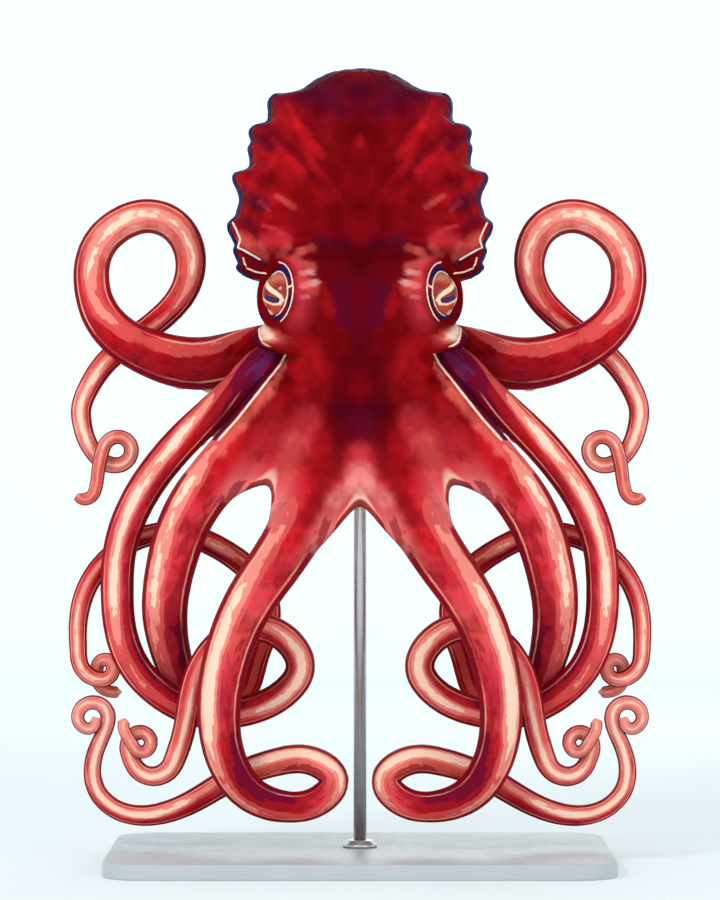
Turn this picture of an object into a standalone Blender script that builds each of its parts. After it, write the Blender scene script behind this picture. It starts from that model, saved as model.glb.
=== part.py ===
"""Giant Pacific octopus, life size, held in the water's pose on a plain museum display stand.

Metres, +Z up, front (the animal's dorsal side) towards -Y, origin under the middle of the stand's base.
The animal hangs upright: mantle at the top, arms below. Its own right side is at -X, its left at +X.
Arms are numbered as zoologists do: 1 is the dorsal pair, in front here, and 4 the ventral pair, behind.
"""

import math

import bmesh
import bpy
import numpy as np

# ---------------------------------------------------------------- fineness of the solids
ARM_STEPS = 4  # facets across the outer half of an arm, and as many across the sucker side
TIP_STEPS = 3  # the same on the thin end of an arm
WEB_STEPS = 2  # facets across the web between two arms
WEB_ROWS = 5  # rows of facets from the arms' ring to the edge of the web
GAP = 0.0004  # parting between neighbouring solids
PATH_STEP = 0.002  # spacing of the points that an arm's middle line is stored as
RING_TURN = math.radians(29.6)  # how far an arm bends from one ring of facets to the next
RING_MAX = 0.062  # furthest spacing of an arm's rings

# ---------------------------------------------------------------- the ring that the arms spring from
TILT = math.radians(45)  # the mouth faces down and back
RING_CENTRE = np.array((0.0, -0.010, 0.700))
RING_ACROSS, RING_DEEP = 0.102, 0.085
MOUTH_AXIS = np.array((0.0, math.sin(TILT), -math.cos(TILT)))
RING_UP = np.array((0.0, math.cos(TILT), math.sin(TILT)))  # from the ring's front to its back
LIP_CENTRE = RING_CENTRE + 0.055 * MOUTH_AXIS
LIP_ACROSS, LIP_DEEP = 0.045, 0.040
MOUTH_POINT = RING_CENTRE + 0.042 * MOUTH_AXIS
ARM_SPREAD = math.radians(15)  # half the angle that an arm's root takes up on the ring
ROOT_BLEND = 0.10  # length over which an arm's root leaves the ring's shape
WEB_SLOPE = math.radians(28)  # where the web joins the side of an arm, at the ring

# ---------------------------------------------------------------- the arms on the animal's right side
# route: the middle line from the root, then curl: stretches of (length, turn in degrees, drift back).
# widths: half the arm's breadth at shares of its length. web: where the web ends on the arm.
# cuts: where the arm is parted into lengths, as shares of what lies beyond the web.
ARMS = {
    1: {
        "route": [(-0.035, -0.05, 0.595), (-0.06, -0.07, 0.525), (-0.105, -0.08, 0.44), (-0.155, -0.08, 0.365),
                  (-0.185, -0.08, 0.29), (-0.195, -0.078, 0.21), (-0.18, -0.072, 0.14), (-0.15, -0.07, 0.102),
                  (-0.1, -0.065, 0.085), (-0.055, -0.055, 0.094), (-0.035, -0.045, 0.12), (-0.065, -0.035, 0.146),
                  (-0.11, -0.02, 0.145), (-0.17, -0.015, 0.125), (-0.23, -0.01, 0.09), (-0.295, -0.005, 0.068),
                  (-0.34, 0.0, 0.075), (-0.37, 0.0, 0.105), (-0.372, 0.0, 0.15), (-0.36, 0.0, 0.18)],
        "curl": [(0.020, 10, 0), (0.034, 90, 0), (0.034, 90, -0.002), (0.027, 90, -0.004), (0.018, 90, -0.005),
                 (0.012, 80, -0.002)],
        "widths": [(0, 0.036), (0.14, 0.038), (0.25, 0.0325), (0.35, 0.0285), (0.42, 0.0255), (0.49, 0.020),
                   (0.60, 0.0188), (0.70, 0.0160), (0.80, 0.0122), (0.92, 0.0085), (1, 0.006)],
        "web": 0.20,
        "cuts": (0.20, 0.38, 0.50, 0.74),
    },
    2: {
        "route": [(-0.105, -0.025, 0.655), (-0.135, -0.035, 0.615), (-0.19, -0.04, 0.555), (-0.24, -0.04, 0.49),
                  (-0.265, -0.03, 0.42), (-0.275, -0.01, 0.355), (-0.265, 0.025, 0.29), (-0.24, 0.065, 0.235),
                  (-0.205, 0.08, 0.215), (-0.17, 0.08, 0.23), (-0.148, 0.075, 0.285), (-0.13, 0.07, 0.345),
                  (-0.145, 0.06, 0.395), (-0.19, 0.055, 0.435), (-0.25, 0.05, 0.46), (-0.3, 0.05, 0.458),
                  (-0.345, 0.045, 0.435), (-0.38, 0.04, 0.395), (-0.396, 0.035, 0.345), (-0.396, 0.03, 0.287)],
        "curl": [(0.050, 85, 0), (0.025, 90, 0.005), (0.020, 90, 0.007), (0.019, 90, 0.008), (0.014, 0, 0.004),
                 (0.026, 75, 0), (0.022, 25, 0)],
        "widths": [(0, 0.038), (0.12, 0.037), (0.22, 0.032), (0.30, 0.028), (0.38, 0.021), (0.45, 0.017),
                   (0.65, 0.0155), (0.80, 0.0125), (0.90, 0.009), (1, 0.0065)],
        "web": 0.20,
        "cuts": (0.20, 0.36, 0.60, 0.80),
    },
    3: {
        "route": [(-0.105, 0.035, 0.705), (-0.145, 0.02, 0.69), (-0.175, 0.01, 0.66), (-0.23, 0.0, 0.61),
                  (-0.28, -0.005, 0.555), (-0.31, -0.005, 0.51), (-0.335, 0.0, 0.445), (-0.34, 0.0, 0.38),
                  (-0.335, 0.0, 0.325), (-0.313, 0.005, 0.271), (-0.281, 0.01, 0.238), (-0.22, 0.013, 0.21),
                  (-0.16, 0.012, 0.213), (-0.11, 0.012, 0.235), (-0.083, 0.01, 0.275), (-0.105, 0.005, 0.315),
                  (-0.135, -0.005, 0.33), (-0.175, -0.018, 0.325), (-0.213, -0.028, 0.295), (-0.235, -0.03, 0.245),
                  (-0.246, -0.03, 0.185), (-0.259, -0.028, 0.145)],
        "curl": [(0.034, -60, 0.004), (0.040, -76, 0.006), (0.016, 0, 0.002), (0.034, -92, 0.002), (0.024, -90, -0.008),
                 (0.021, -90, -0.009), (0.016, -82, -0.008), (0.026, 0, -0.005), (0.022, -60, 0)],
        "widths": [(0, 0.034), (0.07, 0.026), (0.15, 0.0235), (0.45, 0.0205), (0.65, 0.019), (0.73, 0.015),
                   (0.82, 0.0145), (0.87, 0.0115), (0.93, 0.0075), (1, 0.0065)],
        "web": 0.11,
        "cuts": (0.24, 0.46, 0.60, 0.78),
    },
    4: {
        "route": [(-0.085, 0.10, 0.73), (-0.155, 0.095, 0.715), (-0.235, 0.06, 0.7), (-0.295, 0.04, 0.715),
                  (-0.34, 0.03, 0.74), (-0.365, 0.03, 0.77), (-0.378, 0.03, 0.815), (-0.372, 0.035, 0.86),
                  (-0.345, 0.045, 0.893), (-0.297, 0.055, 0.91), (-0.26, 0.065, 0.895), (-0.24, 0.075, 0.85),
                  (-0.25, 0.085, 0.805), (-0.285, 0.093, 0.765), (-0.325, 0.095, 0.735), (-0.365, 0.093, 0.7),
                  (-0.387, 0.085, 0.665), (-0.396, 0.075, 0.635), (-0.392, 0.07, 0.607)],
        "curl": [(0.042, 28, 0), (0.030, 45, -0.002), (0.036, 92, -0.006), (0.029, 88, -0.007), (0.027, 75, -0.008),
                 (0.038, 14, -0.007), (0.026, -8, 0), (0.021, -75, 0), (0.015, -95, 0)],
        "widths": [(0, 0.034), (0.13, 0.040), (0.20, 0.037), (0.27, 0.030), (0.34, 0.024), (0.50, 0.0225),
                   (0.60, 0.018), (0.72, 0.0145), (0.80, 0.0115), (0.87, 0.0085), (1, 0.0075)],
        "web": 0.11,
        "cuts": (0.22, 0.40, 0.54, 0.74),
    },
}
NOTCHES = {(1, 1): 0.32, (1, 2): 0.22, (2, 3): 0.60, (3, 4): 0.45, (4, 4): 0.35}  # how far each web is cut back

# ---------------------------------------------------------------- mantle and head
# Each row is one level: side half-width and height, front depth and height, back depth and height,
# and the depth of the widest place.
BODY = [
    (0.016, 1.1115, 0.004, 1.1110, 0.036, 1.1110, 0.020),
    (0.044, 1.1060, -0.025, 1.1040, 0.065, 1.1040, 0.020),
    (0.076, 1.0890, -0.058, 1.0840, 0.098, 1.0840, 0.020),
    (0.120, 1.0580, -0.085, 1.0500, 0.125, 1.0500, 0.020),
    (0.141, 1.0150, -0.100, 1.0050, 0.140, 1.0050, 0.020),
    (0.158, 0.9700, -0.105, 0.9600, 0.146, 0.9600, 0.020),
    (0.170, 0.9250, -0.105, 0.9200, 0.146, 0.9150, 0.020),
    (0.176, 0.8850, -0.100, 0.8900, 0.140, 0.8750, 0.018),
    (0.170, 0.8500, -0.094, 0.8730, 0.130, 0.8420, 0.012),
    (0.164, 0.8290, -0.089, 0.8600, 0.117, 0.8200, 0.008),
    (0.146, 0.8190, -0.086, 0.8500, 0.100, 0.8080, 0.004),
    (0.112, 0.8220, -0.084, 0.8400, 0.082, 0.8110, 0.000),
    (0.099, 0.8060, -0.082, 0.8200, 0.076, 0.8020, 0.000),
    (0.095, 0.7850, -0.080, 0.7880, 0.072, 0.7920, 0.000),
    (0.092, 0.7630, -0.077, 0.7540, 0.068, 0.7830, -0.002),
    (0.094, 0.7400, -0.074, 0.7160, 0.062, 0.7740, -0.004),
    (0.099, 0.7190, -0.071, 0.6770, 0.056, 0.7660, -0.007),
]
MANTLE_EDGE = 11  # the row where the mantle's edge meets the head
# The mantle's lobes: the height of each one's upper edge, how far it stands out, and how far down it fades.
LOBES = [(1.085, 0.024, 0.020), (1.039, 0.019, 0.022), (1.012, 0.007, 0.016), (0.975, 0.018, 0.024),
         (0.906, 0.011, 0.018), (0.867, 0.007, 0.012), (0.842, 0.007, 0.014)]
LOBE_EDGE = 0.008
# The heights of the mantle's rows, closer together at the lobes' upper edges.
MANTLE_ROWS = [1.1095, 1.089, 1.078, 1.060, 1.041, 1.030, 1.008, 0.975, 0.964, 0.938, 0.907, 0.893, 0.866,
               0.856, 0.835]

# ---------------------------------------------------------------- eyes, cheeks, siphon
EYE_RADIUS = 0.033
EYE_CENTRE = np.array((-0.1025, -0.043, 0.795))
EYE_AXIS = np.array((-0.87, -0.48, 0.08)) / np.linalg.norm((-0.87, -0.48, 0.08))
LID_INNER, LID_OUTER, LID_RISE = 0.039, 0.064, 0.019
CHEEK_CENTRE = (-0.121, -0.036, 0.739)
CHEEK_SIZE = (0.028, 0.022, 0.027)
SIPHON_TOP, SIPHON_END = np.array((0.0, 0.082, 0.828)), np.array((0.0, 0.122, 0.786))
SIPHON_RADII = (0.024, 0.013)

# ---------------------------------------------------------------- stand
BASE_SIZE = (0.70, 0.46, 0.022)
BASE_CORNER, BASE_BEVEL = 0.060, 0.003
ROD_RADIUS, ROD_TOP, ROD_Y = 0.009, 0.690, 0.012
COLLAR_RADIUS, COLLAR_HEIGHT = 0.024, 0.010


def unit(v):
    return v / np.linalg.norm(v)


def smoothstep(x):
    x = np.clip(x, 0.0, 1.0)
    return x * x * (3 - 2 * x)


# ---------------------------------------------------------------- materials and objects
def material(name, colour, roughness, metallic=0.0):
    found = bpy.data.materials.get(name)
    if found:
        return found
    made = bpy.data.materials.new(name)
    made.use_nodes = True
    shader = made.node_tree.nodes["Principled BSDF"]
    shader.inputs["Base Color"].default_value = (*colour, 1.0)
    shader.inputs["Roughness"].default_value = roughness
    shader.inputs["Metallic"].default_value = metallic
    made.diffuse_color = (*colour, 1.0)
    return made


def skin(name="octopus_skin"):
    return material(name, (0.40, 0.035, 0.04), 0.35)


def add_object(name, verts, faces, made_of):
    mesh = bpy.data.meshes.new(name)
    mesh.from_pydata([tuple(v) for v in verts], [], [tuple(f) for f in faces])
    whole = bmesh.new()
    whole.from_mesh(mesh)
    bmesh.ops.recalc_face_normals(whole, faces=whole.faces)
    whole.to_mesh(mesh)
    whole.free()
    mesh.shade_smooth()
    piece = bpy.data.objects.new(name, mesh)
    bpy.context.collection.objects.link(piece)
    mesh.materials.append(made_of)
    return piece


class Shell:
    """Vertices and faces of one closed solid, with vertices found again by name."""

    def __init__(self):
        self.verts, self.faces, self.known = [], [], {}

    def point(self, key, place):
        if key not in self.known:
            self.known[key] = len(self.verts)
            self.verts.append(np.array(place, float))
        return self.known[key]

    def quad(self, *corners):
        corners = list(dict.fromkeys(corners))
        if len(corners) > 2:
            self.faces.append(corners)

    def cap(self, loop, key, place=None):
        """Closes a loop with a fan about its middle, or about `place`."""
        middle = np.mean([self.verts[i] for i in loop], axis=0) if place is None else place
        centre = self.point(key, middle)
        for a, b in zip(loop, loop[1:] + loop[:1]):
            self.faces.append([a, b, centre])


# ---------------------------------------------------------------- an arm's middle line
def spline(points, step):
    """Points every `step` or so along the natural cubic curve through `points`."""
    p = np.array(points, float)
    t = np.concatenate(([0.0], np.cumsum(np.linalg.norm(np.diff(p, axis=0), axis=1))))
    h = np.diff(t)
    n = len(p)
    rows, bends = np.zeros((n, n)), np.zeros_like(p)
    rows[0, 0] = rows[-1, -1] = 1.0
    for i in range(1, n - 1):
        rows[i, i - 1 : i + 2] = h[i - 1], 2 * (h[i - 1] + h[i]), h[i]
        bends[i] = 6 * ((p[i + 1] - p[i]) / h[i] - (p[i] - p[i - 1]) / h[i - 1])
    m = np.linalg.solve(rows, bends)
    u = np.linspace(0.0, t[-1], max(2, round(t[-1] / step)))
    i = np.clip(np.searchsorted(t, u) - 1, 0, n - 2)
    a, b, w = (t[i + 1] - u)[:, None], (u - t[i])[:, None], h[i][:, None]
    return (m[i] * a**3 + m[i + 1] * b**3) / (6 * w) + (p[i] / w - m[i] * w / 6) * a + (p[i + 1] / w - m[i + 1] * w / 6) * b


def curled(path, curl, step):
    """The path carried on by stretches that bend evenly in the upright plane."""
    ahead = path[-1] - path[-3]
    heading = math.atan2(ahead[2], ahead[0])
    here = path[-1].copy()
    out = [*path]
    for length, turn, drift in curl:
        count = max(1, round(length / step))
        for _ in range(count):
            heading += math.radians(turn) / count / 2
            here = here + np.array((math.cos(heading), 0.0, math.sin(heading))) * (length / count)
            heading += math.radians(turn) / count / 2
            here[1] += drift / count
            out.append(here.copy())
    return np.array(out)


def evened(path, step):
    """The path smoothed a little and with points at even spacing."""
    for _ in range(6):
        path[1:-1] = (path[:-2] + 2 * path[1:-1] + path[2:]) / 4
    along = np.concatenate(([0.0], np.cumsum(np.linalg.norm(np.diff(path, axis=0), axis=1))))
    at = np.linspace(0.0, along[-1], round(along[-1] / step) + 1)
    return np.column_stack([np.interp(at, along, path[:, i]) for i in range(3)]), at


class Arm:
    """One arm: its middle line, the frame along it, its breadth and its cross-sections."""

    def __init__(self, number, side):
        plan = ARMS[number]
        self.number, self.side, self.plan = number, side, plan
        degrees = 45 * number - 22.5
        self.angle = math.radians(degrees if side > 0 else 360 - degrees)
        outer, inner = ring_point(self.angle), lip_point(self.angle)
        flip = np.array((-side, 1.0, 1.0))
        route = [(outer + inner) / 2] + [np.array(p) * flip for p in plan["route"]]
        path = spline(route, PATH_STEP) * flip
        path = curled(path, plan["curl"], PATH_STEP) * flip
        self.path, self.along = evened(path, PATH_STEP)
        self.length = self.along[-1]
        self.ahead = np.gradient(self.path, axis=0)
        self.ahead /= np.linalg.norm(self.ahead, axis=1)[:, None]
        mix = smoothstep(self.along / 0.25)[:, None]
        up = (1 - mix) * unit(outer - inner) + mix * np.array((0.0, -1.0, 0.0))
        up -= self.ahead * np.sum(up * self.ahead, axis=1)[:, None]
        self.up = up / np.linalg.norm(up, axis=1)[:, None]

    def at(self, values, s):
        return np.array([np.interp(s, self.along, values[:, i]) for i in range(3)])

    def breadth(self, s):
        share, half = zip(*self.plan["widths"])
        return float(np.interp(s / self.length, share, half))

    def frame(self, s):
        """Middle, outward and sideways directions at `s`; sideways runs round the ring."""
        middle, ahead, up = self.at(self.path, s), unit(self.at(self.ahead, s)), self.at(self.up, s)
        up = unit(up - ahead * np.dot(up, ahead))
        return middle, up, np.cross(up, ahead)

    def section(self, s, turn):
        """A point of the surface: `turn` is 0 at the + side, a quarter turn on the outer crest."""
        middle, up, sideways = self.frame(s)
        half = self.breadth(s)
        height = half * (0.94 if math.sin(turn) > 0 else 0.82)
        return middle + half * math.cos(turn) * sideways + height * math.sin(turn) * up


def ring_point(angle):
    return RING_CENTRE + RING_ACROSS * math.sin(angle) * np.array((1.0, 0, 0)) - RING_DEEP * math.cos(angle) * RING_UP


def lip_point(angle):
    return LIP_CENTRE + LIP_ACROSS * math.sin(angle) * np.array((1.0, 0, 0)) - LIP_DEEP * math.cos(angle) * RING_UP


def arm_name(arm):
    return f"arm_{'l' if arm.side > 0 else 'r'}{arm.number}"


def all_arms():
    """The eight arms in the order in which they stand round the ring, from the front towards +X."""
    return [Arm(number, side) for side, order in ((1, (1, 2, 3, 4)), (-1, (4, 3, 2, 1))) for number in order]


# ---------------------------------------------------------------- lengths of arm
def ring_places(arm, start, end):
    """Where the rings of a length of arm go: closer together where the arm bends."""
    along = np.linspace(start, end, max(8, round((end - start) / PATH_STEP)))
    ahead = np.array([unit(arm.at(arm.ahead, s)) for s in along])
    turn = np.arccos(np.clip(np.sum(ahead[1:] * ahead[:-1], axis=1), -1.0, 1.0)) / RING_TURN
    need = np.maximum(turn, np.diff(along) / RING_MAX)
    total = np.concatenate(([0.0], np.cumsum(need)))
    count = max(2, math.ceil(total[-1]))
    return np.interp(np.linspace(0.0, total[-1], count + 1), total, along)


def arm_length(arm, name, start, end, is_tip):
    shell = Shell()
    rings = []
    sides = 2 * (TIP_STEPS if is_tip else ARM_STEPS)
    places = ring_places(arm, start + GAP / 2, end - GAP / 2)
    for row, s in enumerate(places[:-1] if is_tip else places):
        rings.append([shell.point((row, i), arm.section(s, 2 * math.pi * i / sides)) for i in range(sides)])
    for upper, lower in zip(rings, rings[1:]):
        for i in range(sides):
            k = (i + 1) % sides
            shell.quad(upper[i], upper[k], lower[k], lower[i])
    shell.cap(rings[0], "start")
    shell.cap(rings[-1], "end", arm.at(arm.path, end) if is_tip else None)
    return add_object(name, shell.verts, shell.faces, skin())


# ---------------------------------------------------------------- crown: arm roots and web
def notch(one, other):
    return NOTCHES[tuple(sorted((one.number, other.number)))]


class Crown:
    """The arms' roots and the web between them, from the ring to just past the web's edge."""

    def __init__(self, arms):
        self.arms = arms
        self.columns = ARM_STEPS + WEB_STEPS

    def station(self, arm, v):
        return arm.plan["web"] * v

    def ring_fade(self, s):
        return max(0.0, 1 - s / ROOT_BLEND) ** 2

    def slope(self, v):
        return WEB_SLOPE * math.sqrt(max(0.0, 1 - v * v))

    def root(self, arm, v, i, outer):
        """A point on an arm's root: i counts across it, v runs from the ring to the web's edge."""
        s, slope = self.station(arm, v), self.slope(v)
        across = math.pi - slope - (math.pi - 2 * slope) * i / ARM_STEPS
        turn = across if outer else -across
        angle = arm.angle - ARM_SPREAD + 2 * ARM_SPREAD * i / ARM_STEPS
        first = math.pi - WEB_SLOPE - (math.pi - 2 * WEB_SLOPE) * i / ARM_STEPS
        edge = ring_point(angle) if outer else lip_point(angle)
        offset = edge - arm.section(0.0, first if outer else -first)
        return arm.section(s, turn) + offset * self.ring_fade(s)

    def web(self, one, other, v, u, outer):
        """A point on the web between two arms, at share u of the way from one to the other."""
        v *= 1 - notch(one, other) * math.sin(math.pi * u) ** 0.9
        flat = (1 - u) * self.root(one, v, ARM_STEPS, outer) + u * self.root(other, v, 0, outer)
        edge = ring_point if outer else lip_point
        start, end = one.angle + ARM_SPREAD, one.angle + math.radians(45) - ARM_SPREAD
        bow = edge(start + (end - start) * u) - (1 - u) * edge(start) - u * edge(end)
        s = self.station(one, v) * (1 - u) + self.station(other, v) * u
        return flat + bow * self.ring_fade(s)

    def place(self, row, column, outer):
        k, i = divmod(column, self.columns)
        arm, v = self.arms[k], row / WEB_ROWS
        if i <= ARM_STEPS:
            return self.root(arm, v, i, outer)
        u = (i - ARM_STEPS) / WEB_STEPS
        following = self.arms[(k + 1) % 8]
        if row < WEB_ROWS:
            return self.web(arm, following, v, u, outer)
        return (self.web(arm, following, v, u, True) + self.web(arm, following, v, u, False)) / 2

    def vertex(self, shell, row, column, outer):
        """At the web's edge the two sides share their points, except across an arm."""
        column %= 8 * self.columns
        i = column % self.columns
        shared = row == WEB_ROWS and not 0 < i < ARM_STEPS
        return shell.point((row, column, True if shared else outer), self.place(row, column, outer))


def crown_piece(arms):
    shell, crown = Shell(), Crown(arms)
    count = 8 * crown.columns
    for outer in (True, False):
        for row in range(WEB_ROWS):
            for column in range(count):
                corners = [(row, column), (row, column + 1), (row + 1, column + 1), (row + 1, column)]
                shell.quad(*[crown.vertex(shell, r, c, outer) for r, c in corners])
    for k, arm in enumerate(arms):
        first = k * crown.columns
        across = [crown.vertex(shell, WEB_ROWS, first + i, True) for i in range(ARM_STEPS + 1)]
        below = [crown.vertex(shell, WEB_ROWS, first + i, False) for i in range(ARM_STEPS - 1, 0, -1)]
        loop, end = across + below, arm_start(arm) - GAP / 2
        turns = [math.pi - math.pi * i / ARM_STEPS for i in range(2 * ARM_STEPS)]
        ring = [shell.point(("end", k, i), arm.section(end, turn)) for i, turn in enumerate(turns)]
        for i in range(len(loop)):
            j = (i + 1) % len(loop)
            shell.quad(loop[i], loop[j], ring[j], ring[i])
        shell.cap(ring, ("cap", k))
    top = [crown.vertex(shell, 0, c, True) for c in range(count)]
    mouth = [crown.vertex(shell, 0, c, False) for c in range(count)]
    shell.cap(top, "top", RING_CENTRE)
    shell.cap(mouth, "mouth", MOUTH_POINT)
    return add_object("arm_crown", shell.verts, shell.faces, skin())


def arm_start(arm):
    return arm.plan["web"] + 0.02


# ---------------------------------------------------------------- mantle and head
def ring_angles():
    """The angles of the body's columns: the arms' and the webs' in turn."""
    angles = []
    for k in range(8):
        middle = math.radians(45 * k + 22.5)
        angles += [middle - ARM_SPREAD + 2 * ARM_SPREAD * i / ARM_STEPS for i in range(ARM_STEPS)]
        start, end = middle + ARM_SPREAD, middle + math.radians(45) - ARM_SPREAD
        angles += [start + (end - start) * i / WEB_STEPS for i in range(WEB_STEPS)]
    return angles


def level(row, angle):
    """A point of the level described by `row`, at `angle` from the front."""
    side, side_z, front, front_z, back, back_z, middle = row
    c, s = math.cos(angle), math.sin(angle)
    depth, height = (front, front_z) if c > 0 else (back, back_z)
    return np.array((side * s, middle + (depth - middle) * abs(c), side_z + (height - side_z) * abs(c)))


def lobed(place, angle):
    """The mantle's side swells into soft lobes."""
    swell = 0.0
    for edge, size, fade in LOBES:
        below = edge - place[2]
        swell += size * smoothstep(below / LOBE_EDGE) * math.exp(-((max(0.0, below - LOBE_EDGE) / fade) ** 2))
    return place + np.array((math.copysign(1.0, math.sin(angle)), 0, 0)) * swell * abs(math.sin(angle)) ** 6


def lidded(place, angle):
    """The head rises round each eye, below the mantle's edge."""
    below = smoothstep((level(BODY[MANTLE_EDGE], angle)[2] - place[2]) / 0.012)
    for side in (1, -1):
        flip = np.array((side, 1.0, 1.0))
        away = place * flip - EYE_CENTRE
        out = float(np.dot(away, EYE_AXIS))
        off = float(np.linalg.norm(away - out * EYE_AXIS))
        lift = 1 - smoothstep((off - LID_INNER) / (LID_OUTER - LID_INNER))
        if out > -0.06 and place[0] * side < 0:
            place = place + (LID_RISE - out) * lift * below * EYE_AXIS * flip
    return place


def body_piece(name, rows, adjust, first_cap, last_cap):
    shell, angles = Shell(), ring_angles()
    loops = []
    for r, row in enumerate(rows):
        loops.append([shell.point((r, c), adjust(level(row, a), a)) for c, a in enumerate(angles)])
    for upper, lower in zip(loops, loops[1:]):
        for c in range(len(angles)):
            k = (c + 1) % len(angles)
            shell.quad(upper[c], upper[k], lower[k], lower[c])
    shell.cap(loops[0], "top", first_cap)
    shell.cap(loops[-1], "bottom", last_cap)
    return add_object(name, shell.verts, shell.faces, skin())


def lowered(row, by):
    row = list(row)
    for i in (1, 3, 5):
        row[i] -= by
    return row


def ring_row():
    side, front, back = ring_point(math.pi / 2), ring_point(0.0), ring_point(math.pi)
    return (side[0], side[2], front[1], front[2], back[1], back[2], side[1])


def refined(rows, steps):
    """The rows with smooth ones put in between."""
    t = np.arange(len(rows))
    fine = []
    table = np.array(rows)
    for i in range(len(rows) - 1):
        for n in range(steps):
            u = n / steps
            a, b, c, d = (table[min(max(i + k, 0), len(rows) - 1)] for k in (-1, 0, 1, 2))
            fine.append(b + u * (c - a) / 2 + u * u * (a - 2.5 * b + 2 * c - d / 2) + u**3 * (1.5 * (b - c) + (d - a) / 2))
    return fine + [table[len(t) - 1]]


def mantle_piece():
    fine = np.array(refined(BODY[:MANTLE_EDGE], 12))
    rows = [np.array([np.interp(-z, -fine[:, 1], column) for column in fine.T]) for z in MANTLE_ROWS]
    rows += [np.array(r) for r in BODY[MANTLE_EDGE - 1 : MANTLE_EDGE + 1]]
    top = np.array((0.0, 0.020, 1.1125))
    last = rows[-1]
    middle = np.array((0.0, last[6], (last[1] + (last[3] + last[5]) / 2) / 2))
    return body_piece("mantle", rows, lobed, top, middle)


def head_piece():
    first = lowered(BODY[MANTLE_EDGE], GAP)
    rows = [np.array(first)] + [np.array(r) for r in BODY[MANTLE_EDGE + 1 :]]
    last = lowered(ring_row(), -GAP)
    rows.append(np.array(last))
    middle = np.array((0.0, first[6], (first[1] + (first[3] + first[5]) / 2) / 2))
    return body_piece("head", rows, lidded, middle, RING_CENTRE + (0, 0, GAP))


# ---------------------------------------------------------------- round pieces
def ball(name, centre, size, made_of, grow=0.0):
    """A ball with its poles along Y, swollen by `grow`."""
    across, around = 12, 8
    shell = Shell()
    rings = []
    for r in range(1, around):
        polar = math.pi * r / around
        ring = []
        for c in range(across):
            a = 2 * math.pi * c / across
            off = np.array((math.sin(polar) * math.cos(a), math.cos(polar), math.sin(polar) * math.sin(a)))
            ring.append(shell.point((r, c), np.array(centre) + off * (np.array(size) + grow)))
        rings.append(ring)
    for upper, lower in zip(rings, rings[1:]):
        for c in range(across):
            k = (c + 1) % across
            shell.quad(upper[c], upper[k], lower[k], lower[c])
    pole = np.array((0, size[1] + grow, 0))
    shell.cap(rings[0], "near", np.array(centre) + pole)
    shell.cap(rings[-1], "far", np.array(centre) - pole)
    return add_object(name, shell.verts, shell.faces, made_of)


def tube(name, start, end, radii, made_of, sides=12, grow=0.0):
    """A straight tapered rod between two points."""
    axis = unit(np.array(end) - start)
    one = unit(np.cross(axis, (1.0, 0.0, 0.0)))
    two = np.cross(axis, one)
    shell = Shell()
    rings = []
    for r, (place, radius) in enumerate(((start - grow * axis, radii[0]), (end + grow * axis, radii[1]))):
        turns = [2 * math.pi * i / sides for i in range(sides)]
        off = [math.cos(t) * one + math.sin(t) * two for t in turns]
        rings.append([shell.point((r, i), place + (radius + grow) * o) for i, o in enumerate(off)])
    for i in range(sides):
        k = (i + 1) % sides
        shell.quad(rings[0][i], rings[0][k], rings[1][k], rings[1][i])
    shell.cap(rings[0], "start")
    shell.cap(rings[1], "end")
    return add_object(name, shell.verts, shell.faces, made_of)


def cut(piece, cutter):
    """Takes the cutter's shape out of a piece; the cutter stays as a guide that isn't part of the model."""
    cutter.hide_render = True
    cutter.display_type = "WIRE"
    step = piece.modifiers.new(cutter.name, "BOOLEAN")
    step.operation = "DIFFERENCE"
    step.object = cutter


def eyes(head):
    for side, tag in ((1, "r"), (-1, "l")):
        flip = np.array((side, 1.0, 1.0))
        size = (EYE_RADIUS,) * 3
        centre = EYE_CENTRE * flip
        ball(f"eye_{tag}", centre, size, material("eye", (0.55, 0.20, 0.06), 0.1))
        cut(head, ball(f"guide_socket_{tag}", centre, size, skin(), grow=2 * GAP))


def cheeks(head, crown):
    for side, tag in ((1, "r"), (-1, "l")):
        centre = np.array(CHEEK_CENTRE) * (side, 1.0, 1.0)
        ball(f"cheek_{tag}", centre, CHEEK_SIZE, skin())
        hollow = ball(f"guide_cheek_{tag}", centre, CHEEK_SIZE, skin(), grow=2 * GAP)
        cut(head, hollow)
        cut(crown, hollow)


def siphon(head, mantle):
    tube("siphon", SIPHON_TOP, SIPHON_END, SIPHON_RADII, skin())
    hollow = tube("guide_siphon", SIPHON_TOP, SIPHON_END, SIPHON_RADII, skin(), grow=2 * GAP)
    cut(head, hollow)
    cut(mantle, hollow)


# ---------------------------------------------------------------- stand
def base_piece():
    """A flat plate with round corners and a small bevel on every edge."""
    half_x, half_y = BASE_SIZE[0] / 2 - BASE_CORNER, BASE_SIZE[1] / 2 - BASE_CORNER
    corner_steps = 4
    shell = Shell()
    loops = []
    levels = [(0.0, BASE_BEVEL), (BASE_BEVEL, 0.0), (BASE_SIZE[2] - BASE_BEVEL, 0.0), (BASE_SIZE[2], BASE_BEVEL)]
    for r, (height, inset) in enumerate(levels):
        loop = []
        for q, (sx, sy) in enumerate(((1, 1), (-1, 1), (-1, -1), (1, -1))):
            for i in range(corner_steps + 1):
                a = math.pi / 2 * (q + i / corner_steps)
                reach = BASE_CORNER - inset
                place = (sx * half_x + reach * math.cos(a), sy * half_y + reach * math.sin(a), height)
                loop.append(shell.point((r, q, i), place))
        loops.append(loop)
    for lower, upper in zip(loops, loops[1:]):
        for i in range(len(lower)):
            k = (i + 1) % len(lower)
            shell.quad(lower[i], lower[k], upper[k], upper[i])
    shell.faces.append(loops[0])
    shell.faces.append(loops[-1])
    return add_object("stand_base", shell.verts, shell.faces, material("stand_paint", (0.62, 0.62, 0.60), 0.5))


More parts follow.
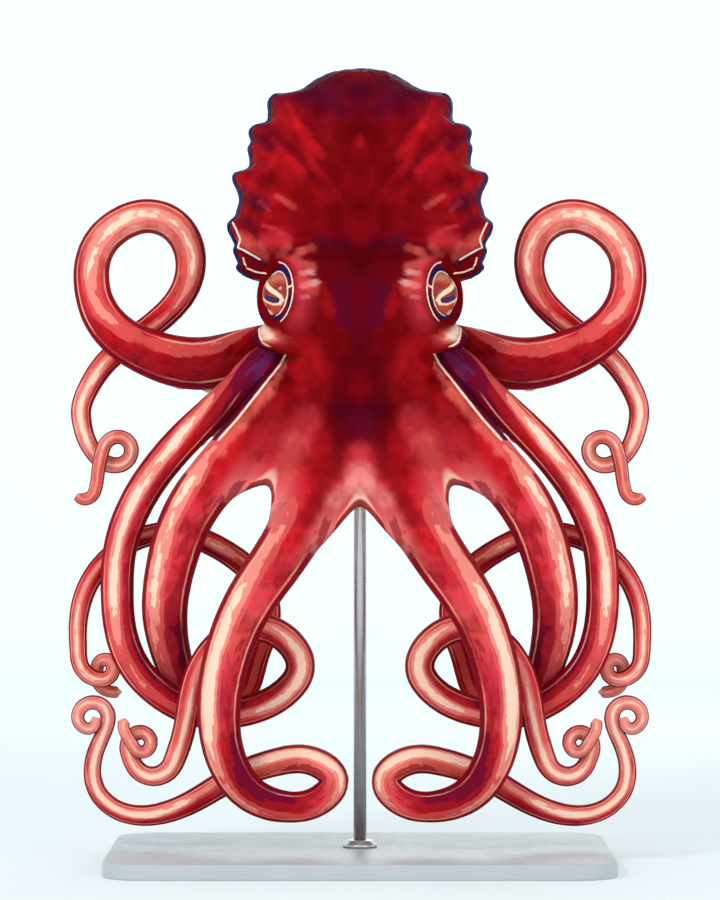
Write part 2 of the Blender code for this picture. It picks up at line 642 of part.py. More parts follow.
def stand(crown):
    base_piece()
    steel = material("stand_steel", (0.55, 0.55, 0.56), 0.3, 1.0)
    top = BASE_SIZE[2]
    foot = np.array((0.0, ROD_Y, top + GAP))
    collar_top = foot + (0, 0, COLLAR_HEIGHT)
    tube("stand_collar", foot, collar_top, (COLLAR_RADIUS, COLLAR_RADIUS * 0.8), steel, 16)
    start, end = collar_top + (0, 0, GAP), np.array((0.0, ROD_Y, ROD_TOP))
    tube("stand_rod", start, end, (ROD_RADIUS, ROD_RADIUS), steel, 12)
    cut(crown, tube("guide_rod", start, end, (ROD_RADIUS, ROD_RADIUS), steel, 12, grow=GAP))


def main():
    for old in list(bpy.data.objects):
        bpy.data.objects.remove(old)
    arms = all_arms()
    mantle, head, crown = mantle_piece(), head_piece(), crown_piece(arms)
    for arm in arms:
        start, reach = arm_start(arm), arm.length - arm_start(arm)
        places = [start, *(start + reach * share for share in arm.plan["cuts"]), arm.length]
        for letter, begin, end in zip("abcde", places, places[1:]):
            arm_length(arm, f"{arm_name(arm)}_{letter}", begin, end, letter == "e")
    eyes(head)
    cheeks(head, crown)
    siphon(head, mantle)
    stand(crown)


main()
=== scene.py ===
"""Looks of the giant Pacific octopus: skin, suckers, eyes, beak, stand, studio and camera.

Metres, +Z up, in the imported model's frame: front (the animal's dorsal side) towards -Y, its own right side at -X.
"""

import itertools
import math

import bmesh
import bpy
import numpy as np
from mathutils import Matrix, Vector


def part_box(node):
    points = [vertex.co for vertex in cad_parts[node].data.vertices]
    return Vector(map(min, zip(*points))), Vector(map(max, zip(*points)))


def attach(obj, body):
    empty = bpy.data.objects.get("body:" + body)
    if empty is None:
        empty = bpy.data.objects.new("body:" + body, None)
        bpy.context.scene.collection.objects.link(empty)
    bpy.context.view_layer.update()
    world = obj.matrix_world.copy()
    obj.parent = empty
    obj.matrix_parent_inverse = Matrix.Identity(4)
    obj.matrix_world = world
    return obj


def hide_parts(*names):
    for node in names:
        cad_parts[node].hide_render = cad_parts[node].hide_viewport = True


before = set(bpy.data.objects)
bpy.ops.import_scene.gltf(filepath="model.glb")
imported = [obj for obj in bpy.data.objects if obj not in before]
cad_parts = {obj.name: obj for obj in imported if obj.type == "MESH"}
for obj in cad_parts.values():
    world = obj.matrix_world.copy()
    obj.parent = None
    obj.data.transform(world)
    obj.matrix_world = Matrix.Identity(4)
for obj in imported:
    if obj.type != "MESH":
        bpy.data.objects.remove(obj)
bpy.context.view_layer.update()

# ---------------------------------------------------------------- fineness of the skin
ARM_STEPS = 12  # facets across the outer half of an arm, and as many across the sucker side
WEB_STEPS = 8  # facets across the web between two arms
WEB_ROWS = 34  # rows of facets from the arms' ring to the edge of the web
BODY_FINE = 9  # rows of facets for each level of the body
RING_SPACE = 0.42  # spacing of an arm's rings, as a share of its half-width
PATH_STEP = 0.002
SKIN_SHARE, SKIN_EXTRA = 1.02, 0.0013  # the smoothed skin shrinks a little, so its cage is fuller

# ---------------------------------------------------------------- the ring that the arms spring from
TILT = math.radians(45)
RING_CENTRE = np.array((0.0, -0.010, 0.700))
RING_ACROSS, RING_DEEP = 0.102, 0.085
MOUTH_AXIS = np.array((0.0, math.sin(TILT), -math.cos(TILT)))
RING_UP = np.array((0.0, math.cos(TILT), math.sin(TILT)))
LIP_CENTRE = RING_CENTRE + 0.055 * MOUTH_AXIS
LIP_ACROSS, LIP_DEEP = 0.045, 0.040
MOUTH_POINT = RING_CENTRE + 0.042 * MOUTH_AXIS
MOUTH_ROWS = [(0.86, 0.003), (0.72, 0.004), (0.60, 0.003), (0.50, 0.008), (0.40, 0.013), (0.31, 0.014),
              (0.24, 0.010), (0.20, 0.002), (0.18, -0.012)]  # share of the way out from the middle, and rise
ARM_SPREAD = math.radians(15)
ROOT_BLEND = 0.10
WEB_SLOPE = math.radians(28)
# Where the skin is evened out: about the middle of the crown, and where the head passes into the arms in front.
CROWN, CROWN_REACH = RING_CENTRE + (0.0, 0.0, -0.03), (0.20, 0.16, 0.12)
CHIN, CHIN_REACH = np.array((0.0, -0.070, 0.645)), (0.12, 0.05, 0.05)

# ---------------------------------------------------------------- the arms on the animal's right side
# route: the middle line from the root, then curl: stretches of (length, turn in degrees, drift back).
# widths: half the arm's breadth at shares of its length. web: where the web ends on the arm.
ARMS = {
    1: {
        "route": [(-0.035, -0.05, 0.595), (-0.06, -0.07, 0.525), (-0.105, -0.08, 0.44), (-0.155, -0.08, 0.365),
                  (-0.185, -0.08, 0.29), (-0.195, -0.078, 0.21), (-0.18, -0.072, 0.14), (-0.15, -0.07, 0.102),
                  (-0.1, -0.065, 0.085), (-0.055, -0.055, 0.094), (-0.035, -0.045, 0.12), (-0.065, -0.035, 0.146),
                  (-0.11, -0.02, 0.145), (-0.17, -0.015, 0.125), (-0.23, -0.01, 0.09), (-0.295, -0.005, 0.068),
                  (-0.34, 0.0, 0.075), (-0.37, 0.0, 0.105), (-0.372, 0.0, 0.15), (-0.36, 0.0, 0.18)],
        "curl": [(0.020, 10, 0), (0.034, 90, 0), (0.034, 90, -0.002), (0.027, 90, -0.004), (0.018, 90, -0.005),
                 (0.012, 80, -0.002)],
        "widths": [(0, 0.036), (0.14, 0.038), (0.25, 0.0325), (0.35, 0.0285), (0.42, 0.0255), (0.49, 0.020),
                   (0.60, 0.0188), (0.70, 0.0160), (0.80, 0.0122), (0.92, 0.0095), (1, 0.0068)],
        "web": 0.20,
    },
    2: {
        "route": [(-0.105, -0.025, 0.655), (-0.135, -0.035, 0.615), (-0.189, -0.04, 0.555), (-0.238, -0.04, 0.49),
                  (-0.263, -0.03, 0.42), (-0.273, -0.01, 0.355), (-0.265, 0.025, 0.29), (-0.24, 0.065, 0.235),
                  (-0.205, 0.08, 0.215), (-0.17, 0.08, 0.23), (-0.148, 0.075, 0.285), (-0.13, 0.07, 0.345),
                  (-0.145, 0.06, 0.395), (-0.19, 0.055, 0.435), (-0.25, 0.05, 0.46), (-0.3, 0.05, 0.458),
                  (-0.345, 0.045, 0.435), (-0.38, 0.04, 0.395), (-0.396, 0.035, 0.345), (-0.396, 0.03, 0.287)],
        "curl": [(0.050, 85, 0), (0.025, 90, 0.005), (0.020, 90, 0.007), (0.019, 90, 0.008), (0.014, 0, 0.004),
                 (0.026, 75, 0), (0.022, 25, 0)],
        "widths": [(0, 0.038), (0.12, 0.0375), (0.22, 0.0340), (0.30, 0.0300), (0.38, 0.023), (0.45, 0.018),
                   (0.65, 0.0155), (0.80, 0.0130), (0.90, 0.0100), (1, 0.0068)],
        "web": 0.20,
    },
    3: {
        "route": [(-0.105, 0.035, 0.705), (-0.145, 0.02, 0.69), (-0.175, 0.01, 0.66), (-0.23, 0.0, 0.61),
                  (-0.28, -0.005, 0.555), (-0.31, -0.005, 0.51), (-0.335, 0.0, 0.445), (-0.34, 0.0, 0.38),
                  (-0.335, 0.0, 0.325), (-0.313, 0.005, 0.271), (-0.281, 0.01, 0.238), (-0.22, 0.013, 0.21),
                  (-0.16, 0.012, 0.213), (-0.11, 0.012, 0.235), (-0.083, 0.01, 0.275), (-0.105, 0.005, 0.315),
                  (-0.135, -0.005, 0.33), (-0.175, -0.018, 0.325), (-0.213, -0.028, 0.295), (-0.235, -0.03, 0.245),
                  (-0.246, -0.03, 0.185), (-0.259, -0.028, 0.145)],
        "curl": [(0.034, -60, 0.004), (0.040, -76, 0.006), (0.016, 0, 0.002), (0.034, -92, 0.002),
                 (0.024, -90, -0.008), (0.021, -90, -0.009), (0.016, -82, -0.008), (0.026, 0, -0.005),
                 (0.022, -60, 0)],
        "widths": [(0, 0.034), (0.07, 0.026), (0.15, 0.0235), (0.45, 0.0205), (0.65, 0.019), (0.73, 0.015),
                   (0.82, 0.0145), (0.87, 0.0122), (0.93, 0.0088), (1, 0.0068)],
        "web": 0.11,
    },
    4: {
        "route": [(-0.085, 0.10, 0.73), (-0.155, 0.095, 0.715), (-0.235, 0.06, 0.7), (-0.295, 0.04, 0.715),
                  (-0.34, 0.03, 0.74), (-0.365, 0.03, 0.77), (-0.378, 0.03, 0.815), (-0.372, 0.035, 0.86),
                  (-0.345, 0.045, 0.893), (-0.297, 0.055, 0.91), (-0.26, 0.065, 0.895), (-0.24, 0.075, 0.85),
                  (-0.25, 0.085, 0.805), (-0.285, 0.093, 0.765), (-0.325, 0.095, 0.735), (-0.365, 0.093, 0.7),
                  (-0.387, 0.085, 0.665), (-0.396, 0.075, 0.635), (-0.392, 0.07, 0.607)],
        "curl": [(0.042, 28, 0), (0.030, 45, -0.002), (0.036, 92, -0.006), (0.029, 88, -0.007),
                 (0.027, 75, -0.008), (0.038, 14, -0.007), (0.026, -8, 0), (0.021, -75, 0), (0.015, -95, 0)],
        "widths": [(0, 0.034), (0.13, 0.040), (0.20, 0.037), (0.27, 0.030), (0.34, 0.024), (0.50, 0.0225),
                   (0.60, 0.018), (0.72, 0.0145), (0.80, 0.0120), (0.87, 0.0095), (1, 0.0078)],
        "web": 0.11,
    },
}
NOTCHES = {(1, 1): 0.32, (1, 2): 0.22, (2, 3): 0.60, (3, 4): 0.45, (4, 4): 0.35}

# ---------------------------------------------------------------- mantle and head
BODY = [
    (0.016, 1.1135, 0.004, 1.1130, 0.036, 1.1130, 0.020),
    (0.044, 1.1080, -0.025, 1.1060, 0.065, 1.1060, 0.020),
    (0.076, 1.0890, -0.058, 1.0840, 0.098, 1.0840, 0.020),
    (0.120, 1.0580, -0.085, 1.0500, 0.125, 1.0500, 0.020),
    (0.141, 1.0150, -0.100, 1.0050, 0.140, 1.0050, 0.020),
    (0.158, 0.9700, -0.105, 0.9600, 0.146, 0.9600, 0.020),
    (0.170, 0.9250, -0.105, 0.9200, 0.146, 0.9150, 0.020),
    (0.176, 0.8850, -0.100, 0.8900, 0.140, 0.8750, 0.018),
    (0.170, 0.8500, -0.094, 0.8730, 0.130, 0.8420, 0.012),
    (0.164, 0.8290, -0.089, 0.8600, 0.117, 0.8200, 0.008),
    (0.146, 0.8190, -0.086, 0.8500, 0.100, 0.8080, 0.004),
    (0.112, 0.8220, -0.084, 0.8400, 0.082, 0.8110, 0.000),
    (0.099, 0.8060, -0.082, 0.8200, 0.076, 0.8020, 0.000),
    (0.095, 0.7850, -0.080, 0.7880, 0.072, 0.7920, 0.000),
    (0.092, 0.7630, -0.077, 0.7540, 0.068, 0.7830, -0.002),
    (0.094, 0.7400, -0.074, 0.7160, 0.062, 0.7740, -0.004),
    (0.099, 0.7190, -0.071, 0.6770, 0.056, 0.7660, -0.007),
]
BODY_TOP = np.array((0.0, 0.020, 1.1150))
# The mantle's lobes: the height of each one's upper edge, how far it stands out, and how far down it fades.
LOBES = [(1.085, 0.024, 0.020), (1.039, 0.019, 0.022), (1.012, 0.007, 0.016), (0.975, 0.018, 0.024),
         (0.906, 0.011, 0.018), (0.867, 0.007, 0.012), (0.842, 0.007, 0.014)]
LOBE_EDGE = 0.008

# ---------------------------------------------------------------- eyes, cheeks, siphon
EYE_RADIUS = 0.033
EYE_CENTRE = np.array((-0.1025, -0.043, 0.795))
EYE_AXIS = np.array((-0.865, -0.495, 0.08)) / np.linalg.norm((-0.865, -0.495, 0.08))
LID_OPEN, LID_FOLD, LID_OUTER = 0.0290, 0.0450, 0.070  # off the eye's axis: the opening, the fold, the lids' foot
LID_RIM = 0.0303
LID_HEIGHT, LID_RIM_HEIGHT, LID_FOLD_INNER, LID_FOLD_MORE = 0.0128, 0.0036, 0.0026, 0.0066
# Painted shadow in the groove of the lids, as dark crescents: from and to round the eye (degrees), off the axis,
# half-width.
LID_MARKS = [(16, 98, 0.0382, 0.0056), (-40, 12, 0.0386, 0.0052), (-104, -50, 0.0350, 0.0030)]
CHEEK_CENTRE = np.array((-0.121, -0.036, 0.739))
CHEEK_SIZE = np.array((0.028, 0.024, 0.028))
SIPHON_LINE = np.array([(0.0, 0.045, 0.845), (0.0, 0.085, 0.832), (0.0, 0.108, 0.810), (0.0, 0.122, 0.786)])
SIPHON_RADII = (0.034, 0.027, 0.019, 0.0135)
SIPHON_BORE = 0.0095
SIPHON_LIP = [(0.0012, 0.0134), (0.0018, 0.0125), (0.0016, 0.0112), (0.0004, 0.0101), (-0.004, SIPHON_BORE),
              (-0.012, SIPHON_BORE), (-0.020, 0.008)]  # how far past the siphon's end, and the radius there

# ---------------------------------------------------------------- colours, 0 to 255
DEEP, CRIMSON, SCARLET, ROSE = (90, 3, 12), (132, 8, 16), (190, 24, 32), (210, 58, 70)
SALMON, PINK, CREAM, PALE = (226, 100, 88), (242, 158, 150), (255, 228, 204), (236, 188, 176)
PLUM, INK_AND_SHADOW = (70, 8, 40), (26, 26, 78)

# ---------------------------------------------------------------- markings
WASH_NOISE, FINE_NOISE, EDGE_NOISE = (0.07, 31), (0.02, 41), (0.006, 51)  # size in metres, and seed
NONE = -2.6  # a band or wash this weak never shows
# Painted highlight along each arm: (share of the arm's length, place across from -1 inner to 1 outer, strength).
GLEAMS = {
    1: [(0, 0.5, -2.4), (0.12, 0.5, -0.9), (0.18, 0.5, 0.5), (0.36, 0.48, 1.1), (0.42, 0.6, 0.0),
        (0.50, 0.6, -0.5), (0.54, 0.5, 0.7), (0.62, 0.45, 0.9), (0.68, 0.4, 0.3), (0.76, 0.2, 0.7),
        (0.88, 0.1, 0.8), (1, 0, 0.3)],
    2: [(0, 0.5, -2.4), (0.06, 0.5, -1.2), (0.12, 0.55, 0.0), (0.18, 0.5, 0.7), (0.28, 0.45, 0.5), (0.34, 0.4, -0.5),
        (0.56, 0.2, -0.3), (0.64, 0.2, 0.3), (0.74, 0.2, 0.0), (0.82, 0.1, 0.5), (1, 0, 0.3)],
    3: [(0, 0.4, -2.0), (0.08, 0.4, -0.8), (0.12, 0.4, 0.2), (0.17, 0.2, 0.8), (0.33, 0.15, 0.9), (0.38, 0.2, -0.2),
        (0.50, 0.2, -0.4), (0.55, 0.2, 0.8), (0.63, 0.15, 0.9), (0.68, 0.3, 0.0), (0.72, 0, 0.2),
        (0.78, -0.1, 0.8), (0.88, 0, 0.6), (1, 0, 0.3)],
    4: [(0, 0.4, -2.0), (0.10, 0.6, -1.0), (0.16, 0.6, -0.6), (0.26, 0.4, -0.7), (0.34, 0.0, 0.3), (0.44, -0.12, 0.7),
        (0.54, -0.15, 0.5), (0.60, -0.2, -0.3), (0.68, 0, 0.2), (0.73, 0, 0.8), (0.84, 0, 0.6), (1, 0, 0.3)],
}
# Painted shade over stretches of an arm: (share of the length, strength).
SHADES = {
    1: [(0, 0), (0.34, 0.0), (0.40, 0.8), (0.49, 0.8), (0.54, 0), (0.70, 0.1), (0.76, 0.2), (0.84, 0), (1, -0.5)],
    2: [(0, 0.1), (0.22, 0.2), (0.30, 0.5), (0.42, 0.8), (0.52, 0.4), (0.66, 0.3), (0.75, 0.7), (0.80, 0), (1, -0.6)],
    3: [(0, 0.9), (0.11, 0.7), (0.16, 0.2), (0.34, 0.3), (0.42, 0.5), (0.52, 0.9), (0.56, 0.1), (0.68, 0.2),
        (0.72, 0.1), (0.80, -0.3), (1, -0.6)],
    4: [(0, 0.4), (0.16, 0.3), (0.26, 0.4), (0.34, 0.0), (0.40, -0.3), (0.54, -0.1), (0.62, 0.6), (0.70, 0), (1, -0.6)],
}
# Ground colour along an arm: (share of the length, place on GROUNDS).
GROUNDS = [DEEP, CRIMSON, SCARLET, ROSE, SALMON, PINK]
TONES = {
    1: [(0, 0.9), (0.07, 1.1), (0.13, 2.0), (0.19, 2.8), (0.30, 3.1), (0.37, 2.8), (0.42, 1.7), (0.48, 1.4),
        (0.52, 3.0), (0.57, 4.0), (0.66, 3.4), (0.72, 2.5), (0.78, 2.9), (0.88, 4.2), (1, 4.5)],
    2: [(0, 0.9), (0.05, 1.2), (0.10, 2.1), (0.20, 3.0), (0.30, 2.9), (0.37, 2.2), (0.44, 1.6), (0.62, 1.6),
        (0.72, 1.7), (0.78, 2.2), (0.84, 3.2), (1, 4.1)],
    3: [(0, 0.2), (0.08, 0.8), (0.13, 2.2), (0.20, 2.9), (0.34, 2.8), (0.42, 2.2), (0.51, 1.8), (0.56, 3.0),
        (0.63, 3.5), (0.70, 2.6), (0.78, 3.0), (0.86, 3.9), (1, 4.3)],
    4: [(0, 0.6), (0.12, 0.9), (0.20, 1.3), (0.27, 1.5), (0.32, 2.2), (0.38, 3.2), (0.45, 4.2), (0.52, 3.7),
        (0.57, 2.9), (0.61, 2.0), (0.65, 1.8), (0.70, 3.4), (0.77, 4.0), (1, 4.5)],
}
# Strokes on the front of mantle and head: from, to (across and up), half-width, colour, strength. The three plum
# strokes on the mantle's sides are painted shade in the hollows below its lobes, the long scarlet strokes on the upper
# mantle are painted highlights along fold ridges, and the cream strokes on the cheek lobe are its painted highlight.
STROKES = [
    ((0.081, 0.823), (0.068, 0.825), 0.0038, PALE, 0.60), ((0.079, 0.805), (0.061, 0.809), 0.0038, PALE, 0.75),
    ((0.081, 0.789), (0.072, 0.790), 0.0030, PALE, 0.45), ((0.082, 0.836), (0.066, 0.832), 0.0065, SALMON, 0.45),
    ((0.082, 0.815), (0.064, 0.799), 0.0065, SALMON, 0.40), ((0.110, 0.848), (0.101, 0.861), 0.0065, SALMON, 0.40),
    ((0.092, 0.842), (0.082, 0.854), 0.0070, SALMON, 0.40), ((0.082, 0.854), (0.067, 0.858), 0.0062, SALMON, 0.32),
    ((0.132, 0.842), (0.129, 0.850), 0.0044, SALMON, 0.40), ((0.163, 0.874), (0.140, 0.856), 0.0095, SALMON, 0.70),
    ((0.148, 0.864), (0.106, 0.870), 0.0130, ROSE, 0.45), ((0.165, 0.857), (0.132, 0.838), 0.0034, PLUM, 0.8),
    ((0.101, 1.062), (0.086, 1.028), 0.0048, SCARLET, 0.60), ((0.086, 1.028), (0.054, 0.984), 0.0062, SCARLET, 0.55),
    ((0.121, 1.008), (0.078, 0.962), 0.0060, SCARLET, 0.50), ((0.128, 0.742), (0.112, 0.732), 0.0100, SALMON, 0.60),
    ((0.139, 0.923), (0.126, 0.911), 0.0040, ROSE, 0.60), ((0.115, 0.930), (0.092, 0.915), 0.0040, SALMON, 0.32),
    ((0.133, 0.890), (0.106, 0.878), 0.0032, ROSE, 0.45), ((0.164, 0.938), (0.134, 0.916), 0.0105, PLUM, 0.55),
    ((0.150, 1.022), (0.126, 1.002), 0.0105, PLUM, 0.60), ((0.162, 0.900), (0.146, 0.886), 0.0070, PLUM, 0.45),
    ((0.060, 1.075), (0.028, 1.045), 0.0130, PLUM, 0.50), ((0.000, 1.008), (0.000, 0.998), 0.0055, SCARLET, 0.40),
    ((0.060, 0.868), (0.020, 0.862), 0.0090, PLUM, 0.50), ((0.028, 0.800), (0.020, 0.760), 0.0130, PLUM, 0.50),
    ((0.054, 0.802), (0.042, 0.770), 0.0085, SCARLET, 0.30), ((0.123, 0.750), (0.117, 0.735), 0.0080, SALMON, 0.70),
    ((0.134, 0.754), (0.129, 0.738), 0.0075, CREAM, 0.85), ((0.126, 0.757), (0.130, 0.750), 0.0050, CREAM, 0.75),
]
# The same on the front of the crown.
CROWN_STROKES = [
    ((0.024, 0.690), (0.020, 0.610), 0.0200, DEEP, 0.55), ((0.014, 0.660), (0.016, 0.612), 0.0150, PLUM, 0.40),
    ((0.021, 0.612), (0.036, 0.548), 0.0120, DEEP, 0.65), ((0.036, 0.560), (0.072, 0.480), 0.0110, CRIMSON, 0.60),
    ((0.000, 0.572), (0.000, 0.535), 0.0150, ROSE, 0.90), ((0.000, 0.545), (0.000, 0.515), 0.0190, PINK, 0.45),
    ((0.012, 0.530), (0.034, 0.508), 0.0120, PINK, 0.40), ((0.106, 0.698), (0.126, 0.664), 0.0050, SALMON, 0.70),
    ((0.128, 0.662), (0.162, 0.618), 0.0085, SALMON, 0.65), ((0.162, 0.618), (0.192, 0.578), 0.0070, SALMON, 0.60),
    ((0.074, 0.622), (0.104, 0.560), 0.0200, ROSE, 0.55), ((0.092, 0.590), (0.102, 0.552), 0.0170, SALMON, 0.40),
]
CROWN_LINES = [
    ([(0.098, 0.733), (0.102, 0.718), (0.111, 0.699), (0.141, 0.659), (0.172, 0.620), (0.196, 0.593)], 0.0016),
]
CROWN_OUTLINES = [
    ([(0.108, 0.718), (0.118, 0.701), (0.148, 0.662), (0.179, 0.624), (0.202, 0.596)], 0.0042),
]
# Thin pale lines on the front: places across and up, and half the line's width.
LINES = [
    ([(0.178, 0.897), (0.172, 0.885), (0.167, 0.873), (0.171, 0.862), (0.160, 0.856), (0.139, 0.844)], 0.0013),
    ([(0.163, 0.847), (0.161, 0.839), (0.158, 0.833), (0.146, 0.828), (0.131, 0.825)], 0.0012),
    ([(0.141, 0.752), (0.1395, 0.738), (0.136, 0.729), (0.129, 0.7235), (0.122, 0.7225)], 0.0013),
]
OUTLINE_FOOT, OUTLINE_STEP, OUTLINE_WIDTH = 0.818, 0.002, 0.0062  # the dark line round the mantle
# Broad dark lines, given the same way: the one here is the outline and painted shadow round the cheek lobe's outer side
# and foot.
OUTLINES = [
    ([(0.139, 0.766), (0.146, 0.756), (0.147, 0.738), (0.142, 0.722), (0.131, 0.7155), (0.120, 0.7160)], 0.0042),
]

# ---------------------------------------------------------------- folds of the mantle
FOLD_CENTRE = (0.0, 0.880)  # across and up: the place that the folds run away from
FOLD_ANGLES = (76, 59, 44, 37, 24, 12, 3, -8)  # above the horizontal, degrees
FOLD_SIZES = (0.0010, 0.0034, 0.0026, 0.0020, 0.0032, 0.0016, 0.0028, 0.0022)
WARTS, GRAIN, SWELLS = 0.0012, 0.0005, 0.0010  # heights of the skin's bumps, metres


def unit(v):
    v = np.asarray(v, float)
    return v / np.linalg.norm(v, axis=-1, keepdims=True)


def smoothstep(x):
    x = np.clip(x, 0.0, 1.0)
    return x * x * (3 - 2 * x)


def linear(r, g, b):
    """A colour given as 0 to 255 on screen, as the shaders need it."""
    c = np.array((r, g, b)) / 255.0
    return np.where(c <= 0.04045, c / 12.92, ((c + 0.055) / 1.055) ** 2.4)


# ---------------------------------------------------------------- noise in plain numbers
def rough(points, size, seed):
    """Smooth noise from -1 to 1 whose bumps are about `size` metres across."""
    cell = points / size
    base = np.floor(cell).astype(np.int64)
    part = smoothstep(cell - base)
    total = np.zeros(len(points))
    for corner in itertools.product((0, 1), repeat=3):
        key = (base + corner) * (73856093, 19349663, 83492791)
        mixed = (key[:, 0] ^ key[:, 1] ^ key[:, 2] ^ (seed * 7919)) & 0xFFFFFFF
        mixed = (mixed * 1103515245 + 12345) & 0x7FFFFFFF
        mixed = ((mixed >> 9) * 69069 + 1) & 0x7FFFFF
        weight = np.prod(np.where(corner, part, 1 - part), axis=1)
        total += weight * (mixed / 0x3FFFFF - 1)
    return total


def fractal(points, size, seed, octaves=3):
    return sum(rough(points, size / 2**n, seed + n) / 2**n for n in range(octaves)) / 1.75


def pebbles(points, size, seed):
    """Rounded bumps: 1 at the middle of each, falling to 0 between them."""
    cell = points / size
    base = np.floor(cell).astype(np.int64)
    nearest = np.full(len(points), 9.0)
    for step in itertools.product((-1, 0, 1), repeat=3):
        key = base + step
        spot = []
        for axis in range(3):
            mixed = (key[:, 0] * 73856093 ^ key[:, 1] * 19349663 ^ key[:, 2] * 83492791 ^ (seed + axis) * 2971215)
            mixed = ((mixed & 0xFFFFFFF) * 1103515245 + 12345) & 0x7FFFFFFF
            spot.append(((mixed >> 8) & 0xFFFF) / 65535.0)
        away = key + np.array(spot).T - cell
        nearest = np.minimum(nearest, np.sum(away * away, axis=1))
    return np.clip(1 - np.sqrt(nearest) / 0.62, 0.0, 1.0)


# ---------------------------------------------------------------- an arm's middle line
def spline(points, step):
    """Points every `step` or so along the natural cubic curve through `points`."""
    p = np.array(points, float)
    t = np.concatenate(([0.0], np.cumsum(np.linalg.norm(np.diff(p, axis=0), axis=1))))
    h = np.diff(t)
    n = len(p)
    rows, bends = np.zeros((n, n)), np.zeros_like(p)
    rows[0, 0] = rows[-1, -1] = 1.0
    for i in range(1, n - 1):
        rows[i, i - 1 : i + 2] = h[i - 1], 2 * (h[i - 1] + h[i]), h[i]
        bends[i] = 6 * ((p[i + 1] - p[i]) / h[i] - (p[i] - p[i - 1]) / h[i - 1])
    m = np.linalg.solve(rows, bends)
    u = np.linspace(0.0, t[-1], max(2, round(t[-1] / step)))
    i = np.clip(np.searchsorted(t, u) - 1, 0, n - 2)
    a, b, w = (t[i + 1] - u)[:, None], (u - t[i])[:, None], h[i][:, None]
    curve = (m[i] * a**3 + m[i + 1] * b**3) / (6 * w)
    return curve + (p[i] / w - m[i] * w / 6) * a + (p[i + 1] / w - m[i + 1] * w / 6) * b


def curled(path, curl, step):
    """The path carried on by stretches that bend evenly in the upright plane."""
    ahead = path[-1] - path[-3]
    heading = math.atan2(ahead[2], ahead[0])
    here = path[-1].copy()
    out = [*path]
    for length, turn, drift in curl:
        count = max(1, round(length / step))
        for _ in range(count):
            heading += math.radians(turn) / count / 2
            here = here + np.array((math.cos(heading), 0.0, math.sin(heading))) * (length / count)
            heading += math.radians(turn) / count / 2
            here[1] += drift / count
            out.append(here.copy())
    return np.array(out)


def evened(path, step):
    """The path smoothed a little and with points at even spacing."""
    for _ in range(6):
        path[1:-1] = (path[:-2] + 2 * path[1:-1] + path[2:]) / 4
    along = np.concatenate(([0.0], np.cumsum(np.linalg.norm(np.diff(path, axis=0), axis=1))))
    at = np.linspace(0.0, along[-1], round(along[-1] / step) + 1)
    return np.column_stack([np.interp(at, along, path[:, i]) for i in range(3)]), at


def ring_point(angle):
    angle = np.atleast_1d(angle)[:, None]
    return RING_CENTRE + RING_ACROSS * np.sin(angle) * (1.0, 0, 0) - RING_DEEP * np.cos(angle) * RING_UP


def lip_point(angle):
    angle = np.atleast_1d(angle)[:, None]
    return LIP_CENTRE + LIP_ACROSS * np.sin(angle) * (1.0, 0, 0) - LIP_DEEP * np.cos(angle) * RING_UP


class Arm:
    """One arm: its middle line, the frame along it, its breadth and the points of its surface."""

    def __init__(self, number, side):
        plan = ARMS[number]
        self.number, self.side, self.plan = number, side, plan
        degrees = 45 * number - 22.5
        self.angle = math.radians(degrees if side > 0 else 360 - degrees)
        outer, inner = ring_point(self.angle)[0], lip_point(self.angle)[0]
        flip = np.array((-side, 1.0, 1.0))
        route = [(outer + inner) / 2] + [np.array(p) * flip for p in plan["route"]]
        path = spline(route, PATH_STEP) * flip
        path = curled(path, plan["curl"], PATH_STEP) * flip
        self.path, self.along = evened(path, PATH_STEP)
        self.length = self.along[-1]
        self.ahead = unit(np.gradient(self.path, axis=0))
        mix = smoothstep(self.along / 0.25)[:, None]
        up = (1 - mix) * unit(outer - inner) + mix * np.array((0.0, -1.0, 0.0))
        up -= self.ahead * np.sum(up * self.ahead, axis=1, keepdims=True)
        self.up = unit(up)
        self.name = f"arm_{'l' if side > 0 else 'r'}{number}"

    def at(self, values, s):
        return np.column_stack([np.interp(s, self.along, values[:, i]) for i in range(3)])

    def breadth(self, s):
        share, half = zip(*self.plan["widths"])
        return SKIN_SHARE * np.interp(np.asarray(s) / self.length, share, half) + SKIN_EXTRA

    def frame(self, s):
        """Middle, outward, sideways and ahead at each `s`; sideways runs round the ring."""
        middle, ahead, up = self.at(self.path, s), unit(self.at(self.ahead, s)), self.at(self.up, s)
        up = unit(up - ahead * np.sum(up * ahead, axis=1, keepdims=True))
        return middle, up, np.cross(up, ahead), ahead

    def surface(self, s, turn, grow=0.0):
        """Points of the skin: `turn` is 0 at the + side, a quarter turn on the outer crest."""
        s, turn = np.broadcast_arrays(np.atleast_1d(s).astype(float), turn)
        middle, up, sideways, _ = self.frame(s)
        half = self.breadth(s) + grow
        height = half * np.where(np.sin(turn) > 0, 0.94, 0.82)
        return middle + (half * np.cos(turn))[:, None] * sideways + (height * np.sin(turn))[:, None] * up


# ---------------------------------------------------------------- crown: arm roots and web
def ring_fade(s):
    return np.maximum(0.0, 1 - s / ROOT_BLEND) ** 2


def root_points(arm, v, share, outer):
    """Points on an arm's root: `share` runs across it, v from the ring to the web's edge."""
    v, share = np.broadcast_arrays(np.asarray(v, float), np.asarray(share, float))
    s = arm.plan["web"] * v
    slope = WEB_SLOPE * np.sqrt(np.maximum(0.0, 1 - v * v))
    sign = 1 if outer else -1
    turn = sign * (math.pi - slope - (math.pi - 2 * slope) * share)
    angle = arm.angle - ARM_SPREAD + 2 * ARM_SPREAD * share
    first = sign * (math.pi - WEB_SLOPE - (math.pi - 2 * WEB_SLOPE) * share)
    edge = ring_point(angle) if outer else lip_point(angle)
    offset = edge - arm.surface(np.zeros(len(s)), first)
    return arm.surface(s, turn) + offset * ring_fade(s)[:, None], s, turn


